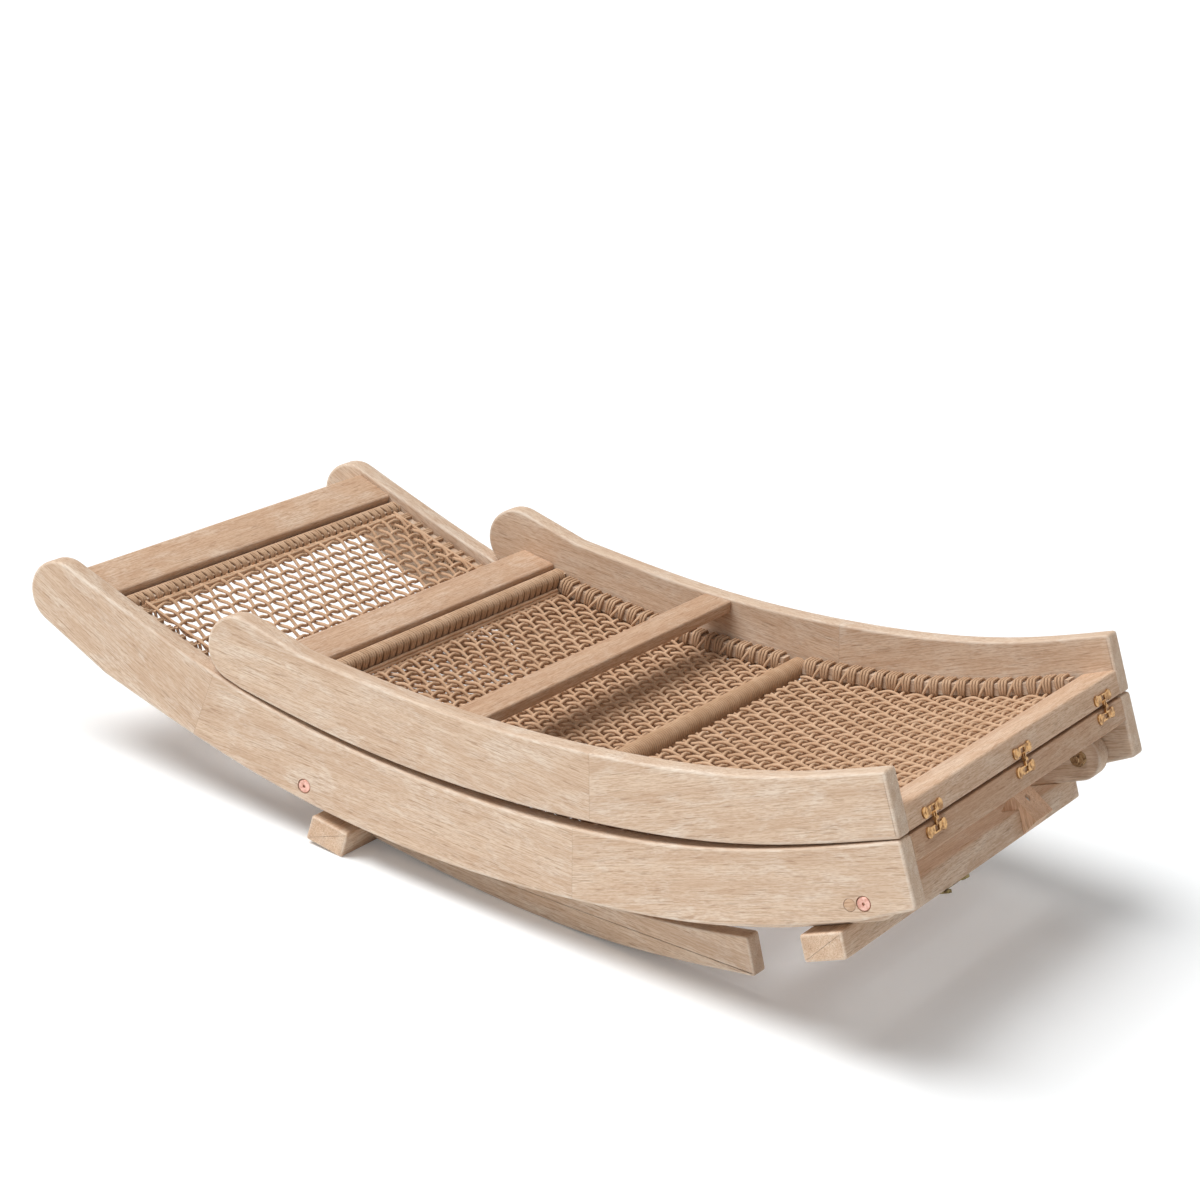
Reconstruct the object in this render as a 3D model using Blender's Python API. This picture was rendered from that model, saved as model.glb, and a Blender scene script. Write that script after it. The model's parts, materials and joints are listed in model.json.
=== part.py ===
"""Folding curved sun lounger in wood and rope, shown folded.

The foot half lies on the back half, and the legs lie flat below.

Everything is drawn in the frame of the folded lounger's seam: the hinge line is at x = 0, z = 0, the head end
is toward -X, and y runs from the near side board's outer face (0) to the far one's (WIDTH). One empty then
turns and lifts the whole lounger until it stands on its rear stop bar and its rear feet.
"""
import math

import bmesh
import bpy
import numpy as np
from mathutils import Matrix, Vector

# Driving dimensions, in metres
WIDTH = 0.620
BOARD_THICKNESS = 0.0255
BOARD_EDGE = 0.003
FIT = 0.0003
CUT_OVER = 0.004

# Side boards: smooth curves through a few points (x, z), folded position
BACK_SEAT_LINE = ((0.000, -0.0006), (-0.180, -0.0405), (-0.371, -0.0516), (-0.598, -0.0229), (-0.810, 0.0375),
                  (-1.002, 0.1265))
BACK_UNDER_LINE = ((-0.042, -0.0945), (-0.179, -0.1255), (-0.347, -0.1335), (-0.574, -0.1140),
                   (-0.820, -0.0470), (-1.000, 0.0300))
FOOT_SEAT_LINE = ((0.000, 0.0006), (-0.180, -0.0355), (-0.322, -0.0425), (-0.521, -0.0285), (-0.676, 0.0005),
                  (-0.810, 0.0395))
FOOT_UNDER_LINE = ((-0.019, 0.0693), (-0.135, 0.0450), (-0.325, 0.0342), (-0.545, 0.0530), (-0.727, 0.0900))
BACK_END_CORNER = (0.020, -0.0715)
HEAD_NOSE_CENTRE = (-1.064, 0.1155)
HEAD_NOSE_RADIUS = 0.038
FOOT_NOSE_CENTRE = (-0.8145, 0.0835)
FOOT_NOSE_RADIUS = 0.0385

# Rails, slats and bars that cross the lounger
END_RAIL_DEPTH = 0.043
END_RAIL_HEIGHT = 0.029
END_RAIL_INSET = 0.001
SLAT_THICKNESS = 0.0295
SLAT_INSET = 0.006
HEAD_SLAT_WIDTH = 0.052
HEAD_SLAT_X = -1.021
FOOT_SLAT_WIDTH = 0.047
FOOT_SLAT_X = -0.789
BRACE_WIDTH = 0.038
BRACE_THICKNESS = 0.016
FOOT_BRACE_X = -0.524
BACK_BRACE_X = -0.455
BRACE_SKIRT = 0.002
BAR_EDGE = 0.002
ROUND_BAR_X = -0.412
ROUND_BAR_WOUND_RADIUS = 0.0130
ROUND_BAR_INSET = 0.0150

# Rope, inner side bars and nets
ROPE = 0.004
WRAP_INSET = 0.009
SIDE_BAR_HEIGHT = 0.0140
SIDE_BAR_DEPTH = 0.0170
SLAT_ROD_WIDTH = 0.0120
SLAT_ROD_HEIGHT = 0.0170
SLAT_ROD_GAP = 0.0025
LEAN_ROOM = 0.0008
NET_THICKNESS = 0.004
NET_INSET = 0.010
NET_STRAND = 0.005
NET_COLUMNS = 7
BACK_NET_ROWS = 12
FOOT_NET_TOE_ROWS = 4
FOOT_NET_KNEE_ROWS = 5
WINDING_LOOPS = 24
WINDING_POINTS = 10

# Legs
LEG_THICKNESS = 0.025
FRONT_LEG_INSET = 0.0015
LEG_LAYER_GAP = 0.002
REAR_PIVOT = (-0.726, -0.061)
REAR_HEAD_RADIUS = 0.023
REAR_UNDER_LINE = ((-0.189, -0.2005), (-0.350, -0.1955), (-0.505, -0.1714))
REAR_NOTCH_DEPTH = 0.0195
REAR_HEAD_TURN = math.radians(29)
REAR_FOOT_TOP = (-0.1985, -0.1575)
REAR_TOP_RADIUS = 0.950
REAR_STRETCHER_X = -0.330
REAR_STRETCHER_INSET = 0.013
LEG_EDGE = 0.002
FRONT_PIVOT = (-0.039, -0.075)
FRONT_HEAD_RADIUS = 0.0270
FRONT_UNDER_RADIUS = 0.620
FRONT_SLOPE = math.radians(14.3)
FRONT_LEG_DEPTH = 0.040
FRONT_STRETCHER_REACH = 0.140
FRONT_STRETCHER_DROP = 0.004
STRETCHER_WIDTH = 0.030
STRETCHER_THICKNESS = 0.018

# Stop bars, 50 by 30 mm, as wide as the lounger
STOP_BAR_WIDTH = 0.0493
STOP_BAR_HEIGHT = 0.0300
STOP_BAR_EDGE = 0.003
REAR_STOP_CORNER = (-0.716, -0.0930)
REAR_STOP_SLOPE = math.radians(-17.4)
FRONT_STOP_START = 0.0322

# Stop block on the front stop bar
BLOCK_NEAR_Y = 0.455
BLOCK_WIDTH = 0.048
BLOCK_OVERLAP = 0.0225
BLOCK_DROP = 0.0285
BLOCK_FACE_TOP = (-0.0060, 0.0200)
BLOCK_FACE_BOTTOM = (0.0185, -0.0150)
BLOCK_SCREW_PLACE = 0.35
BLOCK_SCREW_TURN = math.radians(39)
BLOCK_SCREW_RADIUS = 0.0020
BLOCK_SCREW_HEAD = 0.0042
BLOCK_SCREW_LENGTH = 0.0260
BLOCK_POCKET_RADIUS = 0.0050
BLOCK_POCKET_DEPTH = 0.0040

# Pivot bolts, nuts, spacers and plugs
BOLT_RADIUS = 0.0040
BOLT_CLEARANCE = 0.0004
BOLT_HEAD_RADIUS = 0.0075
BOLT_HEAD_HEIGHT = 0.0022
BOLT_RECESS_DEPTH = 0.0025
BOLT_RECESS_RADIUS = 0.0086
NUT_RADIUS = 0.0085
NUT_THICKNESS = 0.0060
BOLT_TIP = 0.0020
SPACER_RADIUS = 0.0100
PLUG_CENTRE = (-0.0545, -0.0790)
PLUG_RADIUS = 0.00675
PLUG_LENGTH = 0.0100

# Hinges: two leaves that lie on the end faces, a barrel on the seam and a pin
HINGE_INSET_Y = 0.080
HINGE_OUT = 0.0028
LEAF_LENGTH = 0.047
LEAF_HEIGHT = 0.0125
LEAF_THICKNESS = 0.0018
LEAF_CENTRE = 0.0100
LEAF_SLOT_LENGTH = 0.0100
LEAF_SLOT_HEIGHT = 0.0055
LEAF_WAIST = 0.0090
BARREL_RADIUS = 0.0022
TONGUE_RISE = 0.0005
TONGUE_OVERLAP = 0.0010
BACK_BARREL_WIDTH = 0.0026
FOOT_BARREL_WIDTH = 0.0015
PIN_RADIUS = 0.0009
SCREW_SPACING = 0.0300
SCREW_RADIUS = 0.0015
SCREW_HEAD_RADIUS = 0.0034
SCREW_LENGTH = 0.0140
SCREW_HEAD_RIM = 0.0013

# Hook under the front stop bar
HOOK_Y = 0.306
HOOK_LENGTH = 0.062
HOOK_THICKNESS = 0.0035
HOOK_WIDTH = 0.0060
HOOK_TIP = 0.0120
HOOK_EYE_RADIUS = 0.0085
HOOK_SCREW_RADIUS = 0.0018
HOOK_SCREW_HEAD = 0.0042
HOOK_SCREW_DEPTH = 0.0140
HOOK_FROM_EDGE = 0.0105

CURVE_STEPS = 16
TANGENT_STEP = 0.0005
LEAF_ARC_POINTS = 11
HEAD_ARC_STEPS = 12
PIN_SIDES = 8
SCREW_SIDES = 12
NUT_SIDES = 6
ROUND_STEPS = 16

REAR_OPEN = math.radians(91.5)
FRONT_OPEN = math.radians(103.0)


class Edge:
    """A board's long edge: a natural cubic curve through (x, z) points.

    inward is +1 when the board lies above the edge, else -1.
    """

    def __init__(self, points, inward):
        data = np.array(sorted(points))
        self.x, self.z = data[:, 0], data[:, 1]
        self.inward = inward
        step = np.diff(self.x)
        count = len(self.x)
        system = np.eye(count)
        right = np.zeros(count)
        for i in range(1, count - 1):
            system[i, i - 1:i + 2] = step[i - 1], 2 * (step[i - 1] + step[i]), step[i]
            right[i] = 6 * ((self.z[i + 1] - self.z[i]) / step[i] - (self.z[i] - self.z[i - 1]) / step[i - 1])
        self.bend = np.linalg.solve(system, right)

    def height(self, x):
        i = int(np.clip(np.searchsorted(self.x, x) - 1, 0, len(self.x) - 2))
        step = self.x[i + 1] - self.x[i]
        left, right = self.x[i + 1] - x, x - self.x[i]
        value = (self.bend[i] * left ** 3 + self.bend[i + 1] * right ** 3) / (6 * step)
        value += (self.z[i] / step - self.bend[i] * step / 6) * left
        return value + (self.z[i + 1] / step - self.bend[i + 1] * step / 6) * right

    def tangent(self, x):
        rise = self.height(x + TANGENT_STEP) - self.height(x - TANGENT_STEP)
        length = math.hypot(2 * TANGENT_STEP, rise)
        return np.array((2 * TANGENT_STEP, rise)) / length

    def normal(self, x):
        along = self.tangent(x)
        return self.inward * np.array((-along[1], along[0]))

    def at(self, x, inset=0.0):
        """The point of the edge at x, moved into the board by inset."""
        return np.array((x, self.height(x))) + inset * self.normal(x)

    def span(self, start, end, inset=0.0, steps=CURVE_STEPS):
        return [self.at(x, inset) for x in np.linspace(start, end, steps + 1)]


BACK_SEAT = Edge(BACK_SEAT_LINE, -1)
BACK_UNDER = Edge(BACK_UNDER_LINE, 1)
FOOT_SEAT = Edge(FOOT_SEAT_LINE, 1)
FOOT_UNDER = Edge(FOOT_UNDER_LINE, -1)


def unit(angle):
    return np.array((math.cos(angle), math.sin(angle)))


def toward(start, end):
    """The unit direction from one (x, z) point to another."""
    step = np.array(end) - np.array(start)
    return step / np.linalg.norm(step)


def turned(vector, angle):
    """A plane (x, z) vector turned anticlockwise as seen with x to the right and z up."""
    return np.array((vector[0] * math.cos(angle) - vector[1] * math.sin(angle),
                     vector[0] * math.sin(angle) + vector[1] * math.cos(angle)))


def tangent_angle(centre, radius, point, side):
    """Angle on a circle where the line from an outside point touches it; side picks which of the two."""
    offset = np.array(point) - np.array(centre)
    away = math.hypot(offset[0], offset[1])
    return math.atan2(offset[1], offset[0]) + side * math.acos(radius / away)


def circle_arc(centre, radius, start, end, steps):
    return [np.array(centre) + radius * unit(angle) for angle in np.linspace(start, end, steps + 1)]


def nose(centre, radius, upper_point, lower_point, steps=10):
    """The round end of a side board, from the upper edge round the end to the lower edge."""
    top = tangent_angle(centre, radius, upper_point, 1)
    bottom = tangent_angle(centre, radius, lower_point, -1)
    return circle_arc(centre, radius, top, bottom + 2 * math.pi, steps)


# Places that follow from the sizes above
BACK_CORNER = np.array(BACK_SEAT_LINE[0])
FOOT_CORNER = np.array(FOOT_SEAT_LINE[0])
BACK_END_DOWN = toward(BACK_CORNER, BACK_END_CORNER)
FOOT_END_UP = toward(FOOT_CORNER, FOOT_UNDER_LINE[0])
BACK_END_OUT = np.array((-BACK_END_DOWN[1], BACK_END_DOWN[0]))
FOOT_END_OUT = np.array((FOOT_END_UP[1], -FOOT_END_UP[0]))
HINGE_AXIS = HINGE_OUT * (BACK_END_OUT + FOOT_END_OUT) / 2
INNER_Y = BOARD_THICKNESS + FIT
WRAP_WALL = ROPE + FIT
SIDE_BAR_Y = INNER_Y + WRAP_WALL
WRAP_INNER_Y = SIDE_BAR_Y + SIDE_BAR_DEPTH + WRAP_WALL
SIDE_BAR_INSET = WRAP_INSET + WRAP_WALL
FRONT_LEG_Y = BOARD_THICKNESS + FRONT_LEG_INSET
REAR_LEG_Y = FRONT_LEG_Y + LEG_THICKNESS + LEG_LAYER_GAP
NET_Y = WRAP_INNER_Y + FIT


def clear_scene():
    for item in list(bpy.data.objects):
        bpy.data.objects.remove(item, do_unlink=True)


def make_material(name, colour, roughness, metallic=0.0):
    material = bpy.data.materials.new(name)
    material.use_nodes = True
    shader = material.node_tree.nodes["Principled BSDF"]
    shader.inputs["Base Color"].default_value = (*colour, 1.0)
    shader.inputs["Roughness"].default_value = roughness
    shader.inputs["Metallic"].default_value = metallic
    return material


class Body:
    """A moving group: its empty stands on the joint's axis, and its pieces are drawn relative to it."""

    def __init__(self, name, place, parent=None):
        self.place = Vector((place[0], place[1], place[2]))
        self.empty = bpy.data.objects.new(name, None)
        bpy.context.collection.objects.link(self.empty)
        if parent is not None:
            self.empty.parent = parent.empty
            self.empty.location = self.place - parent.place

    def add(self, name, mesh_data, material, edge=0.0, smooth=False):
        """Turn a bmesh drawn in the seam frame into a named object of this body."""
        bmesh.ops.translate(mesh_data, verts=mesh_data.verts, vec=-self.place)
        bmesh.ops.recalc_face_normals(mesh_data, faces=mesh_data.faces)
        mesh = bpy.data.meshes.new(name)
        mesh_data.to_mesh(mesh)
        mesh_data.free()
        if smooth:
            mesh.shade_smooth()
            mesh.set_sharp_from_angle(angle=math.radians(35))
        item = bpy.data.objects.new(name, mesh)
        bpy.context.collection.objects.link(item)
        item.parent = self.empty
        if material is not None:
            mesh.materials.append(material)
        if edge > 0:
            bevel = item.modifiers.new("eased edges", "BEVEL")
            bevel.width = edge
            bevel.segments = 1
            bevel.limit_method = "ANGLE"
            bevel.angle_limit = math.radians(40)
        return item

    def cut(self, item, mesh_data, operation="DIFFERENCE"):
        """Cut the solids of a bmesh drawn in the seam frame out of an object, or join them to it."""
        tool = self.add(item.name + " tool", mesh_data, None)
        tool.hide_render = True
        tool.display_type = "WIRE"
        boolean = item.modifiers.new(operation.lower(), "BOOLEAN")
        boolean.operation = operation
        boolean.solver = "EXACT"
        boolean.object = tool
        return tool


def plate(outline, low, high, matrix, solid=None):
    """A flat outline in the matrix's own x and y, drawn out along its z from low to high."""
    solid = solid or bmesh.new()
    base = [solid.verts.new(matrix @ Vector((p[0], p[1], low))) for p in outline]
    top = [solid.verts.new(matrix @ Vector((p[0], p[1], high))) for p in outline]
    solid.faces.new(base[::-1])
    solid.faces.new(top)
    count = len(outline)
    for i in range(count):
        j = (i + 1) % count
        solid.faces.new((base[i], base[j], top[j], top[i]))
    return solid


def prism(outline, near, far):
    """A flat (x, z) outline drawn out along y from near to far."""
    return plate(outline, -far, -near, Matrix.Rotation(math.pi / 2, 4, "X"))


def turn(profile, matrix, segments=ROUND_STEPS, ring=False, solid=None):
    """A turned piece: (radius, height) points round the local z axis, then placed by matrix.

    A ring profile is a closed loop away from the axis; any other starts and ends on the axis.
    """
    solid = solid or bmesh.new()
    rows = []
    for radius, height in profile:
        if radius == 0:
            rows.append([solid.verts.new(matrix @ Vector((0, 0, height)))])
            continue
        rows.append([])
        for k in range(segments):
            angle = 2 * math.pi * k / segments
            corner = Vector((radius * math.cos(angle), radius * math.sin(angle), height))
            rows[-1].append(solid.verts.new(matrix @ corner))
    pairs = list(zip(rows, rows[1:]))
    if ring:
        pairs.append((rows[-1], rows[0]))
    for lower, upper in pairs:
        for k in range(segments):
            j = (k + 1) % segments
            if len(lower) == 1:
                solid.faces.new((lower[0], upper[j], upper[k]))
            elif len(upper) == 1:
                solid.faces.new((lower[k], lower[j], upper[0]))
            else:
                solid.faces.new((lower[k], lower[j], upper[j], upper[k]))
    return solid


def pin_profile(radius, start, end):
    return [(0, start), (radius, start), (radius, end), (0, end)]


def along_y(x, z, y, far_side=False):
    """Local z to +y from the near side, or to -y for the far side."""
    quarter = math.pi / 2 if far_side else -math.pi / 2
    place = WIDTH - y if far_side else y
    return Matrix.Translation((x, place, z)) @ Matrix.Rotation(quarter, 4, "X")


def plane_matrix(origin, normal, y):
    """Local z along a (x, z) normal, local x along +y, at the point origin and width y."""
    side = Vector((0, 1, 0))
    up = Vector((normal[0], 0, normal[1]))
    cross = up.cross(side)
    turn_part = Matrix((side, cross, up)).transposed().to_4x4()
    return Matrix.Translation((origin[0], y, origin[1])) @ turn_part


def spans(near, far):
    """The same y stretch on the near side and, mirrored, on the far side."""
    return (("near", near, far), ("far", WIDTH - far, WIDTH - near))


def strip(edge, start, end, inset, depth, steps=CURVE_STEPS):
    """An outline that follows a board's edge from start to end, between two insets."""
    return edge.span(start, end, inset, steps) + edge.span(end, start, inset + depth, steps)


def section(edge, x, inset, width, height):
    """A straight rectangle square to a board's edge at x: its four corners, head end first."""
    along = edge.tangent(x)
    inward = edge.normal(x)
    middle = edge.at(x)
    low, high = inset, inset + height
    half = width / 2
    return [middle - half * along + low * inward, middle + half * along + low * inward,
            middle + half * along + high * inward, middle - half * along + high * inward]


def sleeve_along(edge, start, end, near, far, steps=CURVE_STEPS):
    """Rope wrapping round an inner side bar: a wall one rope thick that follows the edge."""
    low, high = WRAP_INSET, SIDE_BAR_INSET + SIDE_BAR_HEIGHT + WRAP_WALL
    solid = bmesh.new()
    rings = []
    for x in np.linspace(start, end, steps + 1):
        ring = []
        for inset_low, inset_high, y0, y1 in ((low, high, near, far),
                                              (low + ROPE, high - ROPE, near + ROPE, far - ROPE)):
            for inset, y in ((inset_low, y0), (inset_high, y0), (inset_high, y1), (inset_low, y1)):
                place = edge.at(x, inset)
                ring.append(solid.verts.new((place[0], y, place[1])))
        rings.append(ring)
    for first, second in zip(rings, rings[1:]):
        for k in range(4):
            j = (k + 1) % 4
            solid.faces.new((first[k], first[j], second[j], second[k]))
            solid.faces.new((first[4 + k], second[4 + k], second[4 + j], first[4 + j]))
    for ring in (rings[0], rings[-1]):
        for k in range(4):
            j = (k + 1) % 4
            solid.faces.new((ring[k], ring[j], ring[4 + j], ring[4 + k]))
    return solid


def sleeve_across(outline, near, far):
    """Rope wrapping round a straight bar that crosses the lounger: a wall one rope thick."""
    middle = sum(outline) / 4
    solid = bmesh.new()
    rings = []
    for y in (near, far):
        ring = []
        for grow in (WRAP_WALL, FIT):
            for corner in grown(outline, grow):
                ring.append(solid.verts.new((corner[0], y, corner[1])))
        rings.append(ring)
    first, second = rings
    for k in range(4):
        j = (k + 1) % 4
        solid.faces.new((first[k], first[j], second[j], second[k]))
        solid.faces.new((first[4 + k], second[4 + k], second[4 + j], first[4 + j]))
        for ring in rings:
            solid.faces.new((ring[k], ring[j], ring[4 + j], ring[4 + k]))
    return solid


def grown(outline, amount):
    """A rectangle's corners moved out by amount on every side."""
    along, inward = toward(outline[0], outline[1]), toward(outline[0], outline[3])
    signs = ((-1, -1), (1, -1), (1, 1), (-1, 1))
    return [corner + amount * (a * along + b * inward) for corner, (a, b) in zip(outline, signs)]


def net(edge, start, end, rows, columns, near, far):
    """A rope net as a thin curved sheet with rows by columns gaps between strands."""
    def lines(first, last, cells):
        pitch = (last - first - NET_STRAND) / cells
        starts = [first + pitch * i for i in range(cells + 1)]
        return [value for line in starts for value in (line, line + NET_STRAND)]

    xs = lines(start, end, rows)
    ys = lines(near, far, columns)
    solid = bmesh.new()
    layers = []
    for inset in (NET_INSET, NET_INSET + NET_THICKNESS):
        grid = []
        for x in xs:
            place = edge.at(x, inset)
            grid.append([solid.verts.new((place[0], y, place[1])) for y in ys])
        layers.append(grid)
    top, bottom = layers

    def is_gap(i, j):
        inside = 0 <= i < len(xs) - 1 and 0 <= j < len(ys) - 1
        return not inside or (i % 2 == 1 and j % 2 == 1)

    for i in range(len(xs) - 1):
        for j in range(len(ys) - 1):
            if is_gap(i, j):
                continue
            corners = ((i, j), (i + 1, j), (i + 1, j + 1), (i, j + 1))
            solid.faces.new([top[a][b] for a, b in corners])
            solid.faces.new([bottom[a][b] for a, b in corners[::-1]])
            neighbours = ((i, j - 1), (i + 1, j), (i, j + 1), (i - 1, j))
            for k, cell in enumerate(neighbours):
                if is_gap(*cell):
                    a, b = corners[k], corners[(k + 1) % 4]
                    solid.faces.new((top[a[0]][a[1]], bottom[a[0]][a[1]],
                                     bottom[b[0]][b[1]], top[b[0]][b[1]]))
    return solid


def board_outline(upper, lower, centre, radius):
    """A side board: along the upper edge to the round end, round it and back along the lower edge."""
    upper_edge = upper.span(upper.x[-1], upper.x[0])
    lower_edge = lower.span(lower.x[0], lower.x[-1])
    return upper_edge + nose(centre, radius, upper_edge[-1], lower_edge[0]) + lower_edge


def stepped_hole(x, z, wide, wide_depth, narrow, depth, far_side):
    """A cutter for a hole along y from the outer face, wide at its mouth."""
    profile = [(0, -CUT_OVER), (wide, -CUT_OVER), (wide, wide_depth), (narrow, wide_depth), (narrow, depth),
               (0, depth)]
    return turn(profile, along_y(x, z, 0, far_side))


def add_both(body, name, outline, near, far, material, edge=0.0):
    """The near piece and its mirror image on the far side, as two nodes."""
    return [body.add(f"{name}_{side}", prism(outline, low, high), material, edge)
            for side, low, high in spans(near, far)]


def end_rail_outline(corner, out, away):
    """The rail at the hinge end: its front face lies in the boards' end faces."""
    top_front = corner + END_RAIL_INSET * away
    top_back = top_front - END_RAIL_DEPTH * out
    return [top_back, top_front, top_front + END_RAIL_HEIGHT * away, top_back + END_RAIL_HEIGHT * away]


def rod_beside_slat(edge, slat_x, slat_width):
    """Section of the wrapped rod on the hinge side of a slat, and the x where its wrapping ends."""
    reach = slat_width / 2 + SLAT_ROD_GAP + WRAP_WALL + SLAT_ROD_WIDTH / 2
    rod_x = slat_x + reach * edge.tangent(slat_x)[0]
    outline = section(edge, rod_x, SIDE_BAR_INSET, SLAT_ROD_WIDTH, SLAT_ROD_HEIGHT)
    end = rod_x + (SLAT_ROD_WIDTH / 2 + WRAP_WALL + FIT) * edge.tangent(rod_x)[0] + LEAN_ROOM
    return outline, end


def add_slat_and_rod(body, prefix, slat_name, edge, slat_x, slat_width, wood, rope):
    slat = section(edge, slat_x, SLAT_INSET, slat_width, SLAT_THICKNESS)
    body.add(slat_name, prism(slat, INNER_Y, WIDTH - INNER_Y), wood, BAR_EDGE)
    rod, rod_end = rod_beside_slat(edge, slat_x, slat_width)
    body.add(f"{prefix}_slat_rod", prism(rod, INNER_Y, WIDTH - INNER_Y), wood)
    body.add(f"{prefix}_slat_rod_wrap", sleeve_across(rod, INNER_Y, WIDTH - INNER_Y), rope)
    return rod_end


def add_side_bars(body, name, edge, start, end, steps, wood, rope):
    """The inner side bars and their rope wraps, near and far, from start to end along the edge."""
    outline = strip(edge, start, end, SIDE_BAR_INSET, SIDE_BAR_HEIGHT, steps)
    add_both(body, f"{name}_bar", outline, SIDE_BAR_Y, SIDE_BAR_Y + SIDE_BAR_DEPTH, wood)
    for side, near, far in spans(INNER_Y, WRAP_INNER_Y):
        body.add(f"{name}_wrap_{side}", sleeve_along(edge, start, end, near, far, steps), rope)


def add_brace(body, name, edge, x, wood):
    outline = section(edge, x, BRACE_SKIRT, BRACE_WIDTH, BRACE_THICKNESS)
    return body.add(name, prism(outline, INNER_Y, WIDTH - INNER_Y), wood, BAR_EDGE)


def hinge_screws(corner, out, away, radius, start, end, middles):
    """Cylinders along the hinge screws; zero is on the end face and z points out of it."""
    solid = bmesh.new()
    place = corner + LEAF_CENTRE * away
    for middle in middles:
        for side in (-1, 1):
            matrix = plane_matrix(place, out, middle + side * SCREW_SPACING / 2)
            turn(pin_profile(radius, start, end), matrix, 8, solid=solid)
    return solid


def hinge_places():
    """The three hinges' names and middles: one near each side board and one halfway."""
    return list(zip(("near", "middle", "far"), np.linspace(HINGE_INSET_Y, WIDTH - HINGE_INSET_Y, 3)))


def drill_for_screws(body, rail, corner, out, away):
    middles = [middle for _, middle in hinge_places()]
    holes = hinge_screws(corner, out, away, SCREW_RADIUS + FIT, -SCREW_LENGTH - FIT, CUT_OVER, middles)
    body.cut(rail, holes)


def leaf_outline():
    """A hinge leaf seen from the front: two round pads joined by a narrower waist, centred on zero."""
    pad = LEAF_HEIGHT / 2
    reach = LEAF_LENGTH / 2 - pad
    meet = math.asin(LEAF_WAIST / LEAF_HEIGHT)
    right_angles = np.linspace(meet - math.pi, math.pi - meet, LEAF_ARC_POINTS)
    left_angles = np.linspace(meet, 2 * math.pi - meet, LEAF_ARC_POINTS)
    right = [Vector((reach, 0)) + pad * Vector(unit(a)) for a in right_angles]
    left = [Vector((-reach, 0)) + pad * Vector(unit(a)) for a in left_angles]
    return right + left


def box_outline(low_x, high_x, low_y, high_y):
    return [Vector((low_x, low_y)), Vector((high_x, low_y)),
            Vector((high_x, high_y)), Vector((low_x, high_y))]


def add_hinge_leaves(body, name, corner, out, away, barrels, pin_reach, brass):
    """Equal leaves on an end face, each with its two screws. barrels are (low, high) along y."""
    side = 1 if away[1] > 0 else -1
    seam = (HINGE_AXIS[0], HINGE_AXIS[1])
    for place, middle in hinge_places():
        face = plane_matrix(corner, out, middle)
        outline = [p + Vector((0, side * LEAF_CENTRE)) for p in leaf_outline()]
        leaf = body.add(f"{name}_{place}", plate(outline, FIT, FIT + LEAF_THICKNESS, face), brass)
        tongue_end = side * (LEAF_CENTRE - LEAF_WAIST / 2 + TONGUE_OVERLAP)
        tongues = bmesh.new()
        rolls = bmesh.new()
        for low, high in barrels:
            tongue = box_outline(low, high, min(0, tongue_end), max(0, tongue_end))
            plate(tongue, FIT + TONGUE_RISE, HINGE_OUT + FIT, face, tongues)
            turn(pin_profile(BARREL_RADIUS, low, high), along_y(*seam, middle), SCREW_SIDES, solid=rolls)
        body.cut(leaf, tongues, "UNION")
        body.cut(leaf, rolls, "UNION")
        top = FIT + LEAF_THICKNESS
        shanks = hinge_screws(corner, out, away, SCREW_RADIUS, -SCREW_LENGTH, top - FIT, [middle])
        body.cut(leaf, shanks, "UNION")
        heads = hinge_screws(corner, out, away, SCREW_HEAD_RADIUS, FIT * 2, top + FIT, [middle])
        body.cut(leaf, heads, "UNION")
        shift = Vector((0, side * LEAF_CENTRE))
        slot = [p + shift for p in box_outline(-LEAF_SLOT_LENGTH / 2, LEAF_SLOT_LENGTH / 2,
                                               -LEAF_SLOT_HEIGHT / 2, LEAF_SLOT_HEIGHT / 2)]
        body.cut(leaf, plate(slot, -LEAF_THICKNESS, 3 * LEAF_THICKNESS, face))
        if pin_reach:
            pin = pin_profile(PIN_RADIUS, -pin_reach, pin_reach)
            body.cut(leaf, turn(pin, along_y(*seam, middle), PIN_SIDES), "UNION")
        else:
            hole = pin_profile(PIN_RADIUS + FIT, -LEAF_LENGTH / 2, LEAF_LENGTH / 2)
            body.cut(leaf, turn(hole, along_y(*seam, middle), PIN_SIDES))


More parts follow.
